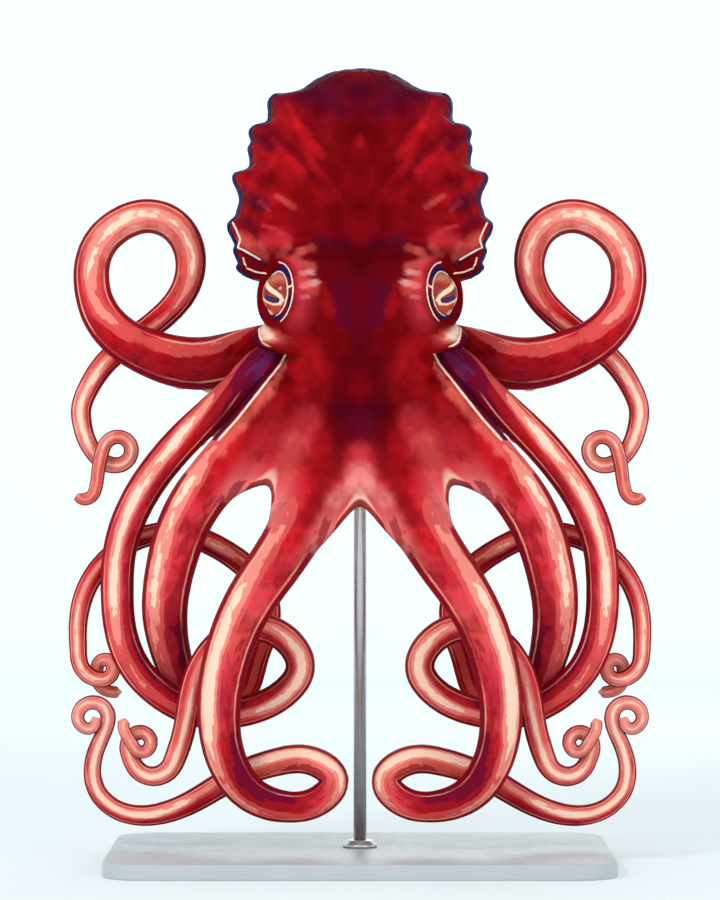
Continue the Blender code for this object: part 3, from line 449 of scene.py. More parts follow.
def web_points(one, other, v, u, outer):
    """Points on the web between two arms, at share u of the way from one to the other."""
    v = v * (1 - NOTCHES[tuple(sorted((one.number, other.number)))] * np.sin(math.pi * u) ** 0.9)
    u = u[:, None]
    ones = np.ones(len(v))
    flat = (1 - u) * root_points(one, v, ones, outer)[0] + u * root_points(other, v, 0 * ones, outer)[0]
    edge = ring_point if outer else lip_point
    start, end = one.angle + ARM_SPREAD, one.angle + math.radians(45) - ARM_SPREAD
    bow = edge(start + (end - start) * u[:, 0]) - (1 - u) * edge(start) - u * edge(end)
    s = (one.plan["web"] * (1 - u[:, 0]) + other.plan["web"] * u[:, 0]) * v
    return flat + bow * ring_fade(s)[:, None], s


class Cage:
    """Points, faces and what the colours and folds need to know about each point."""

    FACTS = ("reach", "crest", "flank", "pair", "hem", "edge")

    def __init__(self):
        self.points, self.facts, self.faces = [], [], []
        self.count = 0

    def add(self, points, reach=0.0, crest=1.0, flank=0.0, pair=0.0, hem=0.0, edge=0.0):
        points = np.atleast_2d(points)
        facts = np.column_stack([np.broadcast_to(f, len(points)) for f in (reach, crest, flank, pair, hem, edge)])
        self.points.append(points)
        self.facts.append(facts)
        self.count += len(points)
        return np.arange(self.count - len(points), self.count)

    def bridge(self, upper, lower, closed=True):
        """Quads between two rows of points."""
        count = len(upper) if closed else len(upper) - 1
        for i in range(count):
            k = (i + 1) % len(upper)
            corners = list(dict.fromkeys((upper[i], upper[k], lower[k], lower[i])))
            if len(corners) > 2:
                self.faces.append(corners)

    def close(self, loop, tip, steps, **facts):
        """Rows that shrink from a loop to a tip."""
        ring = np.concatenate(self.points)[loop]
        for n in range(1, steps):
            share = n / steps
            row = self.add(ring + (tip - ring) * share, **facts)
            self.bridge(loop, row)
            loop = row
        self.faces += [[loop[i], loop[(i + 1) % len(loop)], row_end] for row_end in self.add(tip, **facts)
                       for i in range(len(loop))]


def refined(rows, steps):
    """The levels with smooth ones put in between."""
    table = np.array(rows)
    fine = []
    for i in range(len(rows) - 1):
        a, b, c, d = (table[min(max(i + k, 0), len(rows) - 1)] for k in (-1, 0, 1, 2))
        for n in range(steps):
            u = n / steps
            fine.append(b + u * (c - a) / 2 + u * u * (a - 2.5 * b + 2 * c - d / 2)
                        + u**3 * (1.5 * (b - c) + (d - a) / 2))
    return np.array(fine + [table[-1]])


def ring_row():
    side, front, back = (ring_point(a)[0] for a in (math.pi / 2, 0.0, math.pi))
    return (side[0], side[2], front[1], front[2], back[1], back[2], side[1])


def ring_angles():
    """The angles of the body's columns: the arms' and the webs' in turn."""
    angles = []
    for k in range(8):
        middle = math.radians(45 * k + 22.5)
        angles += [middle - ARM_SPREAD + 2 * ARM_SPREAD * i / ARM_STEPS for i in range(ARM_STEPS)]
        start, end = middle + ARM_SPREAD, middle + math.radians(45) - ARM_SPREAD
        angles += [start + (end - start) * i / WEB_STEPS for i in range(WEB_STEPS)]
    return np.array(angles)


def level(row, angles):
    """The points of one level of the mantle or head."""
    side, side_z, front, front_z, back, back_z, middle = row
    c, s = np.cos(angles), np.sin(angles)
    depth, height = np.where(c > 0, front, back), np.where(c > 0, front_z, back_z)
    points = np.column_stack([side * s, middle + (depth - middle) * abs(c), side_z + (height - side_z) * abs(c)])
    swell = 0.0
    for edge, size, fade in LOBES:
        below = edge - points[:, 2]
        swell = swell + size * smoothstep(below / LOBE_EDGE) * np.exp(-((np.maximum(0, below - LOBE_EDGE) / fade) ** 2))
    points[:, 0] += np.sign(s) * swell * abs(s) ** 6
    return points


def crown_row(arms, row, outer):
    """One row of the crown, from the first arm round to the last web: points and facts."""
    v = row / WEB_ROWS
    made = []
    for k, arm in enumerate(arms):
        share = np.arange(ARM_STEPS + 1) / ARM_STEPS
        points, s, turn = root_points(arm, v, share, outer)
        made.append((points, s / arm.length, np.sin(turn), arm.side * np.cos(turn), arm.number, 0.0, 0.0))
        following = arms[(k + 1) % 8]
        u = np.arange(1, WEB_STEPS) / WEB_STEPS
        both = [web_points(arm, following, np.full(len(u), v), u, way) for way in (True, False)]
        points, s = both[0 if outer else 1]
        if row == WEB_ROWS:
            points = (both[0][0] + both[1][0]) / 2
        pair = arm.number + (following.number - arm.number) * u
        side = arm.side + (following.side - arm.side) * u
        bent = math.sin(WEB_SLOPE) * (1 if outer else -1)
        made.append((points, s / 1.35, bent, side * (1 - 2 * u), pair, v * np.sin(math.pi * u) ** 0.25, v))
    return made


def build_cage(arms):
    cage, angles = Cage(), ring_angles()
    rows = refined([*BODY, ring_row()], BODY_FINE)[:-1]
    body = [cage.add(level(row, angles)) for row in rows]
    for upper, lower in zip(body, body[1:]):
        cage.bridge(upper, lower)
    cage.close(body[0], BODY_TOP, 3)
    grids = {}
    for outer in (True, False):
        for row in range(WEB_ROWS + 1):
            line = []
            for k, (points, *facts) in enumerate(crown_row(arms, row, outer)):
                if row < WEB_ROWS or outer:
                    line.append(cage.add(points, *facts))
                    continue
                shared = grids[(True, WEB_ROWS)][k]
                if k % 2:
                    line.append(shared)
                else:
                    facts = [np.broadcast_to(f, len(points))[1:-1] for f in facts]
                    line.append(np.concatenate([shared[:1], cage.add(points[1:-1], *facts), shared[-1:]]))
            grids[(outer, row)] = line
    flat = {key: np.concatenate(line) for key, line in grids.items()}
    first_ring = flat[(True, 0)]
    cage.bridge(body[-1], first_ring)
    for outer in (True, False):
        for row in range(WEB_ROWS):
            cage.bridge(flat[(outer, row)], flat[(outer, row + 1)])
    add_mouth(cage, flat[(False, 0)])
    add_siphon(cage)
    for k, arm in enumerate(arms):
        above, below = grids[(True, WEB_ROWS)][2 * k], grids[(False, WEB_ROWS)][2 * k]
        add_arm(cage, arm, np.concatenate([above, below[1:-1][::-1]]))
    return cage


def add_mouth(cage, loop):
    """A soft frilled lip round the mouth, and the throat inside it."""
    ring = np.concatenate(cage.points)[loop]
    turn = np.arange(len(ring)) * 2 * math.pi / len(ring)
    for share, rise in MOUTH_ROWS:
        frill = 0.0012 * np.sin(26 * turn) * smoothstep((0.52 - share) / 0.15) * smoothstep((share - 0.19) / 0.06)
        row = MOUTH_POINT + (ring - MOUTH_POINT) * share + (rise + frill)[:, None] * MOUTH_AXIS
        made = cage.add(row, crest=-1.0, pair=2.5, reach=0.0)
        cage.bridge(loop, made)
        loop = made
    cage.close(loop, MOUTH_POINT - 0.016 * MOUTH_AXIS, 2, crest=-1.0, pair=2.5)


def add_siphon(cage, count=40):
    """The funnel that comes out under the mantle's edge, with its open end."""
    line = spline(SIPHON_LINE, 0.003)
    along = np.linspace(0, 1, len(line))
    radii = np.interp(along, np.linspace(0, 1, len(SIPHON_RADII)), SIPHON_RADII)
    ahead = unit(np.gradient(line, axis=0))
    lip = [(line[-1] + past * ahead[-1], ahead[-1], radius) for past, radius in SIPHON_LIP]
    turn = 2 * math.pi * np.arange(count) / count
    loop = None
    for middle, way, radius in [*zip(line, ahead, radii), *lip]:
        across = np.array((1.0, 0.0, 0.0))
        ring = middle + radius * (1.15 * np.outer(np.cos(turn), across) + np.outer(np.sin(turn), np.cross(way, across)))
        made = cage.add(ring, pair=0.2)
        if loop is None:
            cage.faces.append(list(made))
        else:
            cage.bridge(loop, made)
        loop = made
    cage.faces.append(list(loop))


def cheeked(points):
    """The head bulges into a lobe under each eye."""
    points = points.copy()
    for side in (1, -1):
        flank = points * (side, 1.0, 1.0)
        off = np.hypot(*((flank - CHEEK_CENTRE) / CHEEK_SIZE)[:, 1:].T)
        here = (off < 1) & (flank[:, 0] < -0.06) & (flank[:, 0] > -0.15)
        target = CHEEK_CENTRE[0] - CHEEK_SIZE[0] * np.sqrt(np.maximum(0, 1 - off**2))
        share = smoothstep((1 - off) / 0.22) * here
        points[:, 0] += side * (np.minimum(target, flank[:, 0]) - flank[:, 0]) * share
    return points


def add_arm(cage, arm, loop):
    turns = math.pi - math.pi * np.arange(2 * ARM_STEPS) / ARM_STEPS
    s = arm.plan["web"]
    while True:
        s += RING_SPACE * float(arm.breadth(s))
        if s > arm.length - 0.5 * float(arm.breadth(arm.length)):
            break
        ring = cage.add(arm.surface(s, turns), s / arm.length, np.sin(turns), arm.side * np.cos(turns), arm.number)
        cage.bridge(loop, ring)
        loop = ring
    tip = arm.at(arm.path, [arm.length])[0]
    cage.close(loop, tip, 3, reach=1.0, crest=0.0, pair=arm.number)


# ---------------------------------------------------------------- meshes
def mesh_object(name, points, faces):
    mesh = bpy.data.meshes.new(name)
    mesh.from_pydata([tuple(p) for p in points], [], [tuple(int(i) for i in f) for f in faces])
    whole = bmesh.new()
    whole.from_mesh(mesh)
    bmesh.ops.recalc_face_normals(whole, faces=whole.faces)
    whole.to_mesh(mesh)
    whole.free()
    mesh.shade_smooth()
    piece = bpy.data.objects.new(name, mesh)
    bpy.context.scene.collection.objects.link(piece)
    return piece


def strips(rows, count):
    """Quads between neighbouring closed rows, each of `count` points."""
    return [(r * count + i, r * count + (i + 1) % count, (r + 1) * count + (i + 1) % count, (r + 1) * count + i)
            for r in range(rows - 1) for i in range(count)]


def capped(rows, count):
    """The same with both ends closed."""
    return [*strips(rows, count), tuple(range(count)), tuple(range((rows - 1) * count, rows * count))]


def spun(axis_xy, profile, sides):
    """Points of a profile of (radius, height) spun about an upright axis."""
    turns = 2 * math.pi * np.arange(sides) / sides
    return [(axis_xy[0] + r * math.cos(t), axis_xy[1] + r * math.sin(t), z) for r, z in profile for t in turns]


def coordinates(mesh):
    flat = np.zeros(len(mesh.vertices) * 3)
    mesh.vertices.foreach_get("co", flat)
    return flat.reshape(-1, 3)


def normals(mesh):
    flat = np.zeros(len(mesh.vertices) * 3, np.float32)
    mesh.vertex_normals.foreach_get("vector", flat)
    return flat.reshape(-1, 3).astype(float)


def relaxed(mesh, points, amount, rounds):
    """Points moved towards their neighbours' middle, by `amount` for each."""
    pairs = np.zeros(len(mesh.edges) * 2, np.int64)
    mesh.edges.foreach_get("vertices", pairs)
    one, other = pairs.reshape(-1, 2).T
    count = np.bincount(one, minlength=len(points)) + np.bincount(other, minlength=len(points))
    for _ in range(rounds):
        total = np.zeros_like(points)
        np.add.at(total, one, points[other])
        np.add.at(total, other, points[one])
        points = points + amount[:, None] * (total / count[:, None] - points)
    return points


def subdivided(piece, levels):
    step = piece.modifiers.new("smooth", "SUBSURF")
    step.levels = step.render_levels = levels
    graph = bpy.context.evaluated_depsgraph_get()
    fine = bpy.data.meshes.new_from_object(piece.evaluated_get(graph))
    old = piece.data
    piece.modifiers.clear()
    piece.data = fine
    bpy.data.meshes.remove(old)
    return piece


def fact(mesh, name):
    values = np.zeros(len(mesh.vertices), np.float32)
    mesh.attributes[name].data.foreach_get("value", values)
    return values.astype(float)


# ---------------------------------------------------------------- skin
def eye_axes(side):
    """Across (towards the body's middle), upward and outward directions of an eye."""
    axis = EYE_AXIS * (side, 1.0, 1.0)
    across = unit(np.cross((0.0, 0.0, 1.0), axis)) * side
    return across, unit(np.cross(axis, across)) * side, axis


def eye_place(points, side):
    """For each point: how far out along the eye's axis, how far off it, and the direction round it in degrees."""
    across, upward, axis = eye_axes(side)
    away = points - EYE_CENTRE * (side, 1.0, 1.0)
    u, w = away @ across, away @ upward
    return away @ axis, np.hypot(u, w), np.degrees(np.arctan2(w, u))


def lidded(points):
    """Raised lids stand round each eyeball, with a groove inside their outer fold."""
    points = points.copy()
    for side in (1, -1):
        out, off, turn = eye_place(points, side)
        here = (out > -0.06) & (off < LID_OUTER) & (points[:, 0] * side < 0) & (points[:, 2] > 0.70)
        inside = np.sqrt(np.maximum(0.0, (EYE_RADIUS - 0.004) ** 2 - off**2))
        lid = LID_HEIGHT + LID_RIM_HEIGHT * np.exp(-(((off - LID_RIM) / 0.0017) ** 2))
        outer = 0.5 - 0.5 * np.cos(np.radians(turn))
        lid += (LID_FOLD_INNER + LID_FOLD_MORE * outer) * np.exp(-(((off - LID_FOLD) / 0.0042) ** 2))
        target = inside + (lid - inside) * smoothstep((off - LID_OPEN + 0.001) / 0.002)
        lift = 1 - smoothstep((off - 0.046) / (LID_OUTER - 0.046))
        points[here] += ((target - out) * lift)[here, None] * EYE_AXIS * (side, 1.0, 1.0)
    return points


def mantle_folds(points):
    """Height of the folds that run out over the mantle, and how much each point lies on the mantle."""
    across, up = abs(points[:, 0]) - FOLD_CENTRE[0], points[:, 2] - FOLD_CENTRE[1]
    radius = np.hypot(across, up)
    angle = np.degrees(np.arctan2(up, across)) + 6.0 * fractal(abs(points), 0.05, 11)
    start = 0.045 + 0.035 * rough(np.column_stack([angle / 400, 0 * angle, 0 * angle]), 0.03, 17)
    share = smoothstep((radius - start) / 0.09) * smoothstep((points[:, 2] - 0.815) / 0.03)
    height = np.zeros(len(points))
    for middle, size in zip(FOLD_ANGLES, FOLD_SIZES):
        off = (angle - middle) / np.where(angle > middle, 3.0, 5.5)
        height += size * np.exp(-(off**2)) - 0.35 * size * np.exp(-(((angle - middle + 8) / 4.0) ** 2))
    return height * share, share


def build_skin(arms):
    """The whole skin as one closed mesh, smooth, with the facts that its colours need."""
    cage = build_cage(arms)
    piece = mesh_object("skin", np.concatenate(cage.points), cage.faces)
    facts = np.concatenate(cage.facts)
    for i, name in enumerate(Cage.FACTS):
        layer = piece.data.attributes.new(name, "FLOAT", "POINT")
        layer.data.foreach_set("value", facts[:, i].astype(np.float32))
    points = coordinates(piece.data)
    near_ring = np.exp(-(((points - CROWN) / CROWN_REACH) ** 2).sum(axis=1))
    points = relaxed(piece.data, points, 0.5 * np.clip(1.6 * near_ring, 0, 1), 12)
    chin = np.exp(-(((points - CHIN) / CHIN_REACH) ** 2).sum(axis=1))
    points = relaxed(piece.data, points, 0.5 * np.clip(1.8 * chin, 0, 1), 40)
    points = cheeked(points)
    near_cheek = sum(np.exp(-(((points * (side, 1, 1) - CHEEK_CENTRE) / 0.034) ** 2).sum(axis=1)) for side in (1, -1))
    points = relaxed(piece.data, points, 0.5 * np.clip(near_cheek, 0, 1), 4)
    piece.data.vertices.foreach_set("co", points.ravel())
    return subdivided(piece, 1)


def shaped(mesh):
    """Folds, lids and the skin's own roughness, pushed out of the smooth form."""
    points, out = coordinates(mesh), normals(mesh)
    reach, crest, pair = fact(mesh, "reach"), fact(mesh, "crest"), fact(mesh, "pair")
    body = np.where(pair > 0.5, 1 - smoothstep(reach / 0.10), 1.0)
    folds, share = mantle_folds(points)
    height = folds * body
    outer = smoothstep((crest + 0.35) / 0.5)
    warts = pebbles(points, 0.013, 3) * smoothstep(0.5 + fractal(points, 0.06, 5))
    height += (WARTS * warts + GRAIN * pebbles(points, 0.006, 9)) * outer * (0.35 + 0.65 * body)
    height += SWELLS * fractal(points, 0.03, 21) * (0.4 + 0.6 * body) * outer
    points = points + height[:, None] * out
    return lidded(points)


def off_stroke(across, up, start, end):
    """How far places on a flat view lie from a straight stroke."""
    along = np.subtract(end, start)
    share = ((across - start[0]) * along[0] + (up - start[1]) * along[1]) / max(1e-9, along @ along)
    share = np.clip(share, 0, 1)
    return np.hypot(across - start[0] - share * along[0], up - start[1] - share * along[1])


def along_arms(reach, pair, table):
    """Values read from a table of (share of the length, ...) for each arm, by the nearest arm."""
    number = np.clip(np.round(pair), 1, 4)
    columns = [np.zeros(len(reach)) for _ in table[1][0][1:]]
    for key, rows in table.items():
        here = number == key
        share, *values = zip(*rows)
        for column, value in zip(columns, values):
            column[here] = np.interp(reach[here], share, value)
    return columns


class Tint:
    """The skin's colour, laid on in washes."""

    def __init__(self, points, first):
        self.colours = np.tile(linear(*first), (len(points), 1))

    def lay(self, colour, amount):
        amount = np.clip(amount, 0, 1)[:, None]
        self.colours = self.colours * (1 - amount) + linear(*colour) * amount


def ramp(place):
    """Colours read from GROUNDS at places between 0 and its last."""
    stops = np.array([linear(*colour) for colour in GROUNDS])
    place = np.clip(place, 0, len(stops) - 1)
    return np.column_stack([np.interp(place, np.arange(len(stops)), stops[:, i]) for i in range(3)])


def nearest(table, across, up):
    """How far outside the nearest line of a table each place lies; below nought within it."""
    away = np.full(len(across), 1.0)
    for places, half in table:
        for start, end in zip(places, places[1:]):
            away = np.minimum(away, off_stroke(across, up, start, end) - half)
    return away


def front_outline(across, up, body):
    """The outline of the mantle as the front shows it, as a table for `nearest`."""
    heights = np.arange(OUTLINE_FOOT, up.max(), OUTLINE_STEP)
    places = [(across[(body > 0.5) & (abs(up - height) < 0.9 * OUTLINE_STEP)].max(), height) for height in heights]
    return [(places + [(0.0, up.max())], OUTLINE_WIDTH)]


def fenced(inside, away):
    """The distances where `inside` holds, and far off elsewhere."""
    return np.where(inside > 0.5, np.minimum(away, 0.02), 0.02)


def painted(mesh, points):
    """The skin's colours, with where the painted highlights, the painted shade and the edging run."""
    reach, crest, flank = fact(mesh, "reach"), fact(mesh, "crest"), fact(mesh, "flank")
    pair, hem, edge = fact(mesh, "pair"), fact(mesh, "hem"), fact(mesh, "edge")
    to_back = normals(mesh)[:, 1]
    facing = abs(to_back)
    tint = Tint(points, CRIMSON)
    lay = tint.lay
    mirrored = points * np.where(points[:, :1] < 0, (-1.0, 1.0, 1.0), 1.0)
    wash, fine = fractal(mirrored, *WASH_NOISE), fractal(mirrored, *FINE_NOISE)
    across, up = abs(points[:, 0]), points[:, 2]
    body = 1 - smoothstep(pair / 0.5)
    folds, _ = mantle_folds(points)
    middle = np.exp(-((across / 0.10) ** 2))
    spine = np.exp(-((across / 0.058) ** 2)) * smoothstep((0.88 - up) / 0.10)
    lay(DEEP, 0.16 + 0.20 * middle + 0.50 * spine + 0.7 * wash)
    lay(SCARLET, body * (1 - middle) * smoothstep((up - 0.86) / 0.06) * (0.12 + 0.8 * fine))
    # Painted highlight on the crests of the mantle's folds and painted shade in their hollows.
    lay(SCARLET, body * np.clip(folds / 0.0030, 0, 1) * 0.40)
    lay(PLUM, body * np.clip(-folds / 0.0009, 0, 1) * 0.35)
    lay(PLUM, body * smoothstep((up - 1.02) / 0.09) * (0.65 + 0.9 * wash))
    lay(DEEP, body * smoothstep((up - 1.05) / 0.06) * 0.40)
    stem = np.exp(-((across / 0.030) ** 2)) * smoothstep((0.86 - up) / 0.10) * smoothstep((up - 0.52) / 0.12)
    lay(PLUM, stem * (0.26 + 0.9 * wash))
    belly = smoothstep((points[:, 1] - 0.05) / 0.08)
    lay(ROSE, body * belly * 0.30)
    front = body * (points[:, 1] < 0.03)
    # Painted shade where mantle and head turn away from the front, darkest at their outline.
    lay(PLUM, body * smoothstep((0.40 - facing) / 0.30) * (0.75 + 0.5 * fine) * smoothstep((up - 0.70) / 0.05))
    lay(DEEP, body * middle * smoothstep((0.86 - up) / 0.05) * smoothstep((up - 0.72) / 0.05) * 0.35)
    bend = 0.0024 * fine + 0.0022 * rough(mirrored, *EDGE_NOISE)
    # The strokes, among them painted shade in the mantle's hollows and painted highlights on its ridges and on the
    # cheek lobe.
    for start, end, half, colour, strength in STROKES:
        off = off_stroke(across, up, start, end) + bend * min(1.0, half / 0.004)
        lay(colour, front * strength * (1 - smoothstep((off - 0.35 * half) / (1.15 * half))))
    line, dark = (fenced(front, nearest(table, across, up)) for table in (LINES, OUTLINES))
    neck = (points[:, 1] < 0.03) * smoothstep((0.77 - up) / 0.06) * smoothstep((across - 0.03) / 0.04)
    lay(SCARLET, neck * (0.30 + 0.5 * fine))
    # The arms' ground colour along them; the flank term makes each arm lighter on its outer side and darker on its
    # inner side, painted light and shade.
    tone = 0.26 + along_arms(reach, pair, TONES)[0] + 1.0 * wash + 0.6 * fine + 0.35 * flank
    arm = smoothstep((reach * 1.35 - 0.005) / 0.11) * (pair > 0.5)
    tint.colours += (ramp(tone) - tint.colours) * arm[:, None]
    # Where the painted highlight runs along each arm, as a field that the shader cuts into pale bands.
    place, strength = along_arms(reach, pair, GLEAMS)
    single = 1 - np.clip(hem * 4, 0, 1)
    width = 0.40 + 0.12 * wash
    gleam = np.maximum(strength - ((flank - place) / width) ** 2, NONE) + 0.30 * wash
    gleam = np.where((pair > 0.5) & (crest > -0.1), NONE + (gleam - NONE) * single, NONE)
    crown = (pair > 0.5) * (pair < np.where(hem > 0.01, 3.2, 2.6)) * (crest > 0) * smoothstep((0.22 - reach) / 0.07)
    between = crown * np.where(edge > 0.005, 1.0, smoothstep((abs(flank) - 0.10) / 0.80))
    lay(ROSE, between * smoothstep((reach - 0.035) / 0.070) * (0.72 + 0.5 * wash))
    lay(PINK, between**2 * smoothstep((reach - 0.085) / 0.065) * (0.60 + 0.5 * wash))
    for start, end, half, colour, strength in CROWN_STROKES:
        off = off_stroke(across, up, start, end) + 1.6 * bend
        lay(colour, crown * strength * (1 - smoothstep((off - 0.2 * half) / (1.3 * half))))
    lay(CREAM, crown * (edge > 0.005) * smoothstep((hem - 0.78) / 0.10) * 0.45)
    bared = (pair > 1.5) * (pair < 3.1) * (crest > -0.2) * (points[:, 1] < 0.04) * (reach < 0.16)
    line = np.minimum(line, fenced(bared, nearest(CROWN_LINES, across, up)))
    dark = np.minimum(dark, fenced(bared, nearest(CROWN_OUTLINES, across, up)))
    # Painted shade: darker on each arm's inner side and over the stretches in SHADES, faded out in the crown.
    shade = along_arms(reach, pair, SHADES)[0] - 0.75 * (flank + 0.15) - 0.35 + 0.4 * wash
    shade -= 1.4 * (1 - smoothstep(reach / np.where(pair < 2.6, 0.16, 0.05)))
    shade = np.where((pair > 0.5) & (crest > -0.15), NONE + (shade - NONE) * single, NONE)
    lay(PALE, (pair > 0.5) * smoothstep((-crest - 0.12) / 0.25) * (0.80 + 0.25 * fine))
    # Near the edges of the arms and the web: a thin pale line, a painted rim highlight, and outside it a darker border,
    # which is partly the arms' margin line and partly painted shade at the edges.
    past_web = reach - np.where(pair > 2.6, 0.084, 0.149)
    rim = np.where((pair > 0.5) & (edge < 0.01) & (past_web > 0), abs(flank), 0.0)
    trim = np.where(edge > 0.01, 1.0 * (pair < 3.2), smoothstep(past_web / 0.022))
    rim = np.where(edge > 0.01, np.interp(edge, (0.78, 0.875, 0.905, 0.93, 1.0), (0.0, 0.70, 0.76, 0.82, 1.0)), rim)
    ink = fenced(body * (to_back < 0.12) * (up > 0.80), nearest(front_outline(across, up, body), across, up))
    for side in (1, -1):
        out, off, turn = eye_place(points, side)
        near = (out > -0.02) & (points[:, 0] * side < 0) & (up > 0.70)
        lay(CRIMSON, near * (1 - smoothstep((off - 0.046) / 0.010)))
        inner = smoothstep((turn + 75) / 20) * smoothstep((95 - turn) / 20)
        lay(ROSE, near * inner * np.exp(-(((off - 0.0530) / 0.0050) ** 2)) * 0.6)
        # Painted shade in the lids' groove on the side of the eye away from the body's middle.
        lay(PLUM, near * (1 - inner) * np.exp(-(((off - 0.0350) / 0.0040) ** 4)) * 0.8)
        ring = abs(off - LID_RIM) - 0.0013
        round_lid = 0.0030 * (1 - np.cos(np.radians(turn)))
        # A pale line along the crest of the lids' fold, on the side towards the body's middle: painted highlight.
        outer = np.where(abs(turn - 10) < 76, abs(off + round_lid - LID_FOLD - 0.0008) - 0.0012, 1.0)
        bridge = np.maximum(abs(np.radians(turn - 15)) * off - 0.0014, abs(off - 0.038) - 0.008)
        line = np.minimum(line, fenced(near, np.minimum(np.minimum(ring, outer), bridge)))
        # Painted shadow in the lids' groove, as dark crescents, joined to the mantle's outline.
        for first, last, middle, half in LID_MARKS:
            share = np.clip((turn - first) / (last - first), 0, 1)
            taper = half * np.sin(math.pi * share) ** 0.6
            dark_lid = fenced(near, abs(off + 0.7 * round_lid - middle) - taper + 0.0006 * (taper == 0))
            ink = np.minimum(ink, dark_lid)
    return tint.colours, {"gleam": gleam, "shade": shade, "rim": rim, "trim": trim, "line": line, "dark": dark,
                          "ink": ink}


def colour_layer(mesh, name, colours):
    layer = mesh.attributes.new(name, "FLOAT_COLOR", "POINT")
    flat = np.column_stack([colours, np.ones(len(colours))]).astype(np.float32)
    layer.data.foreach_set("color", flat.ravel())


def finish_skin(piece):
    mesh = piece.data
    points = shaped(mesh)
    colours, facts = painted(mesh, points)
    colour_layer(mesh, "tint", colours)
    for name, values in facts.items():
        layer = mesh.attributes.new(name, "FLOAT", "POINT")
        layer.data.foreach_set("value", values.astype(np.float32))
    mesh.vertices.foreach_set("co", points.ravel())
    mesh.update()
    return piece


# ---------------------------------------------------------------- suckers
SUCKER_PROFILE = [(0.72, -0.35), (0.78, 0.05), (1.0, 0.30), (1.0, 0.46), (0.86, 0.56), (0.68, 0.48),
                  (0.50, 0.26), (0.26, 0.14), (0.10, 0.20)]  # share of the radius out, and up
SUCKER_SIDES = 14
SUCKER_SHARE = 0.46  # a sucker's breadth, as a share of the arm's half-breadth


def sucker_row(arm, sign):
    """Places along the arm of one of its two rows of suckers, with each one's radius."""
    s, places = 0.03 + 0.004 * sign, []
    while s < arm.length * 0.985:
        radius = SUCKER_SHARE * float(arm.breadth(s)) * (0.62 + 0.38 * min(1.0, s / 0.12))
        places.append((s, radius))
        s += 2.12 * radius
    return places


def suckers(arm):
    """Two rows of cups down the underside of one arm, as one piece."""
    points, faces, tones = [], [], []
    turns = 2 * math.pi * np.arange(SUCKER_SIDES) / SUCKER_SIDES
    grid, last_row = strips(len(SUCKER_PROFILE), SUCKER_SIDES), (len(SUCKER_PROFILE) - 1) * SUCKER_SIDES
    for sign in (-1, 1):
        for s, radius in sucker_row(arm, sign):
            if s < arm.plan["web"] * 0.5:
                continue
            turn = -math.pi / 2 + sign * 0.46
            middle, up, sideways, ahead = (v[0] for v in arm.frame([s]))
            foot = arm.surface(s, turn)[0]
            out = unit(math.cos(turn) * sideways + math.sin(turn) * up)
            one, two = ahead, np.cross(out, ahead)
            first = len(points)
            for share, height in SUCKER_PROFILE:
                ring = foot + radius * (share * (np.outer(np.cos(turns), one) + np.outer(np.sin(turns), two))
                                        + height * out)
                points += list(ring)
                tones += [share] * SUCKER_SIDES
            points.append(foot + radius * 0.20 * out)
            tones.append(0.0)
            faces += [tuple(first + corner for corner in face) for face in grid]
            last = first + last_row
            faces += [(last + c, last + (c + 1) % SUCKER_SIDES, len(points) - 1) for c in range(SUCKER_SIDES)]
    piece = mesh_object(f"suckers_{arm.name[-2:]}", points, faces)
    layer = piece.data.attributes.new("rim", "FLOAT", "POINT")
    layer.data.foreach_set("value", np.array(tones, np.float32))
    return piece


# ---------------------------------------------------------------- eyeballs
# The band that winds over the iris, as (across, upward, half-width), and the slit under it; towards the middle is +.
EYE_BAND = [(-0.0150, 0.0200, 0.0026), (-0.0050, 0.0130, 0.0032), (0.0020, 0.0085, 0.0034), (0.0115, 0.0030, 0.0034),
            (0.0178, -0.0003, 0.0030), (0.0232, -0.0048, 0.0024), (0.0250, -0.0100, 0.0017), (0.0206, -0.0160, 0.0014),
            (0.0112, -0.0168, 0.0014), (0.0030, -0.0138, 0.0016), (-0.0120, -0.0080, 0.0020)]
EYE_SLIT = ((0.0020, -0.0080), (0.0196, -0.0116), 0.0037)


def eye_colours(u, w, noise):
    """A red-brown iris, a pale winding band and a dark slit."""
    tint = Tint(np.column_stack([u, w]), (176, 46, 30))
    tint.lay((206, 128, 98), smoothstep((w - 0.006) / 0.018) * (0.9 + 0.5 * noise))
    tint.lay((146, 30, 24), np.exp(-(((w - 0.003) / 0.006) ** 2)) * 0.5)
    tint.lay((206, 66, 36), smoothstep((-0.012 - w) / 0.010) * 0.8)
    tint.lay((138, 26, 24), np.exp(-(((u - 0.021) / 0.007) ** 2 + ((w - 0.008) / 0.007) ** 2)) * 0.8)
    wedge = smoothstep((0.014 - u) / 0.010) * np.exp(-(((w + 0.0010 + 0.15 * u) / 0.007) ** 2))
    tint.lay((126, 16, 24), wedge * 0.95)
    start, end, half = EYE_SLIT
    tint.lay((38, 26, 84), 1 - smoothstep((off_stroke(u, w, start, end) - half + 0.0004) / 0.0008))
    for (u0, w0, h0), (u1, w1, h1) in zip(EYE_BAND, EYE_BAND[1:]):
        share = np.clip(((u - u0) * (u1 - u0) + (w - w0) * (w1 - w0)) / ((u1 - u0) ** 2 + (w1 - w0) ** 2), 0, 1)
        away = off_stroke(u, w, (u0, w0), (u1, w1))
        tint.lay((250, 216, 180), 1 - smoothstep((away - h0 - (h1 - h0) * share + 0.0004) / 0.0008))
    off, turn = np.hypot(u, w), np.degrees(np.arctan2(w, -u))
    tint.lay((126, 16, 24), smoothstep((off - 0.0255) / 0.001) * smoothstep((17 - abs(turn)) / 4))
    arc = smoothstep((abs(turn) - 16) / 3) * smoothstep((96 - abs(turn)) / 16)
    tint.lay((250, 216, 180), arc * (1 - smoothstep((abs(off - 0.0264) - 0.0021) / 0.0006)))
    tint.lay((96, 12, 20), smoothstep((off - 0.0286) / 0.0006) * 0.9)
    return tint.colours


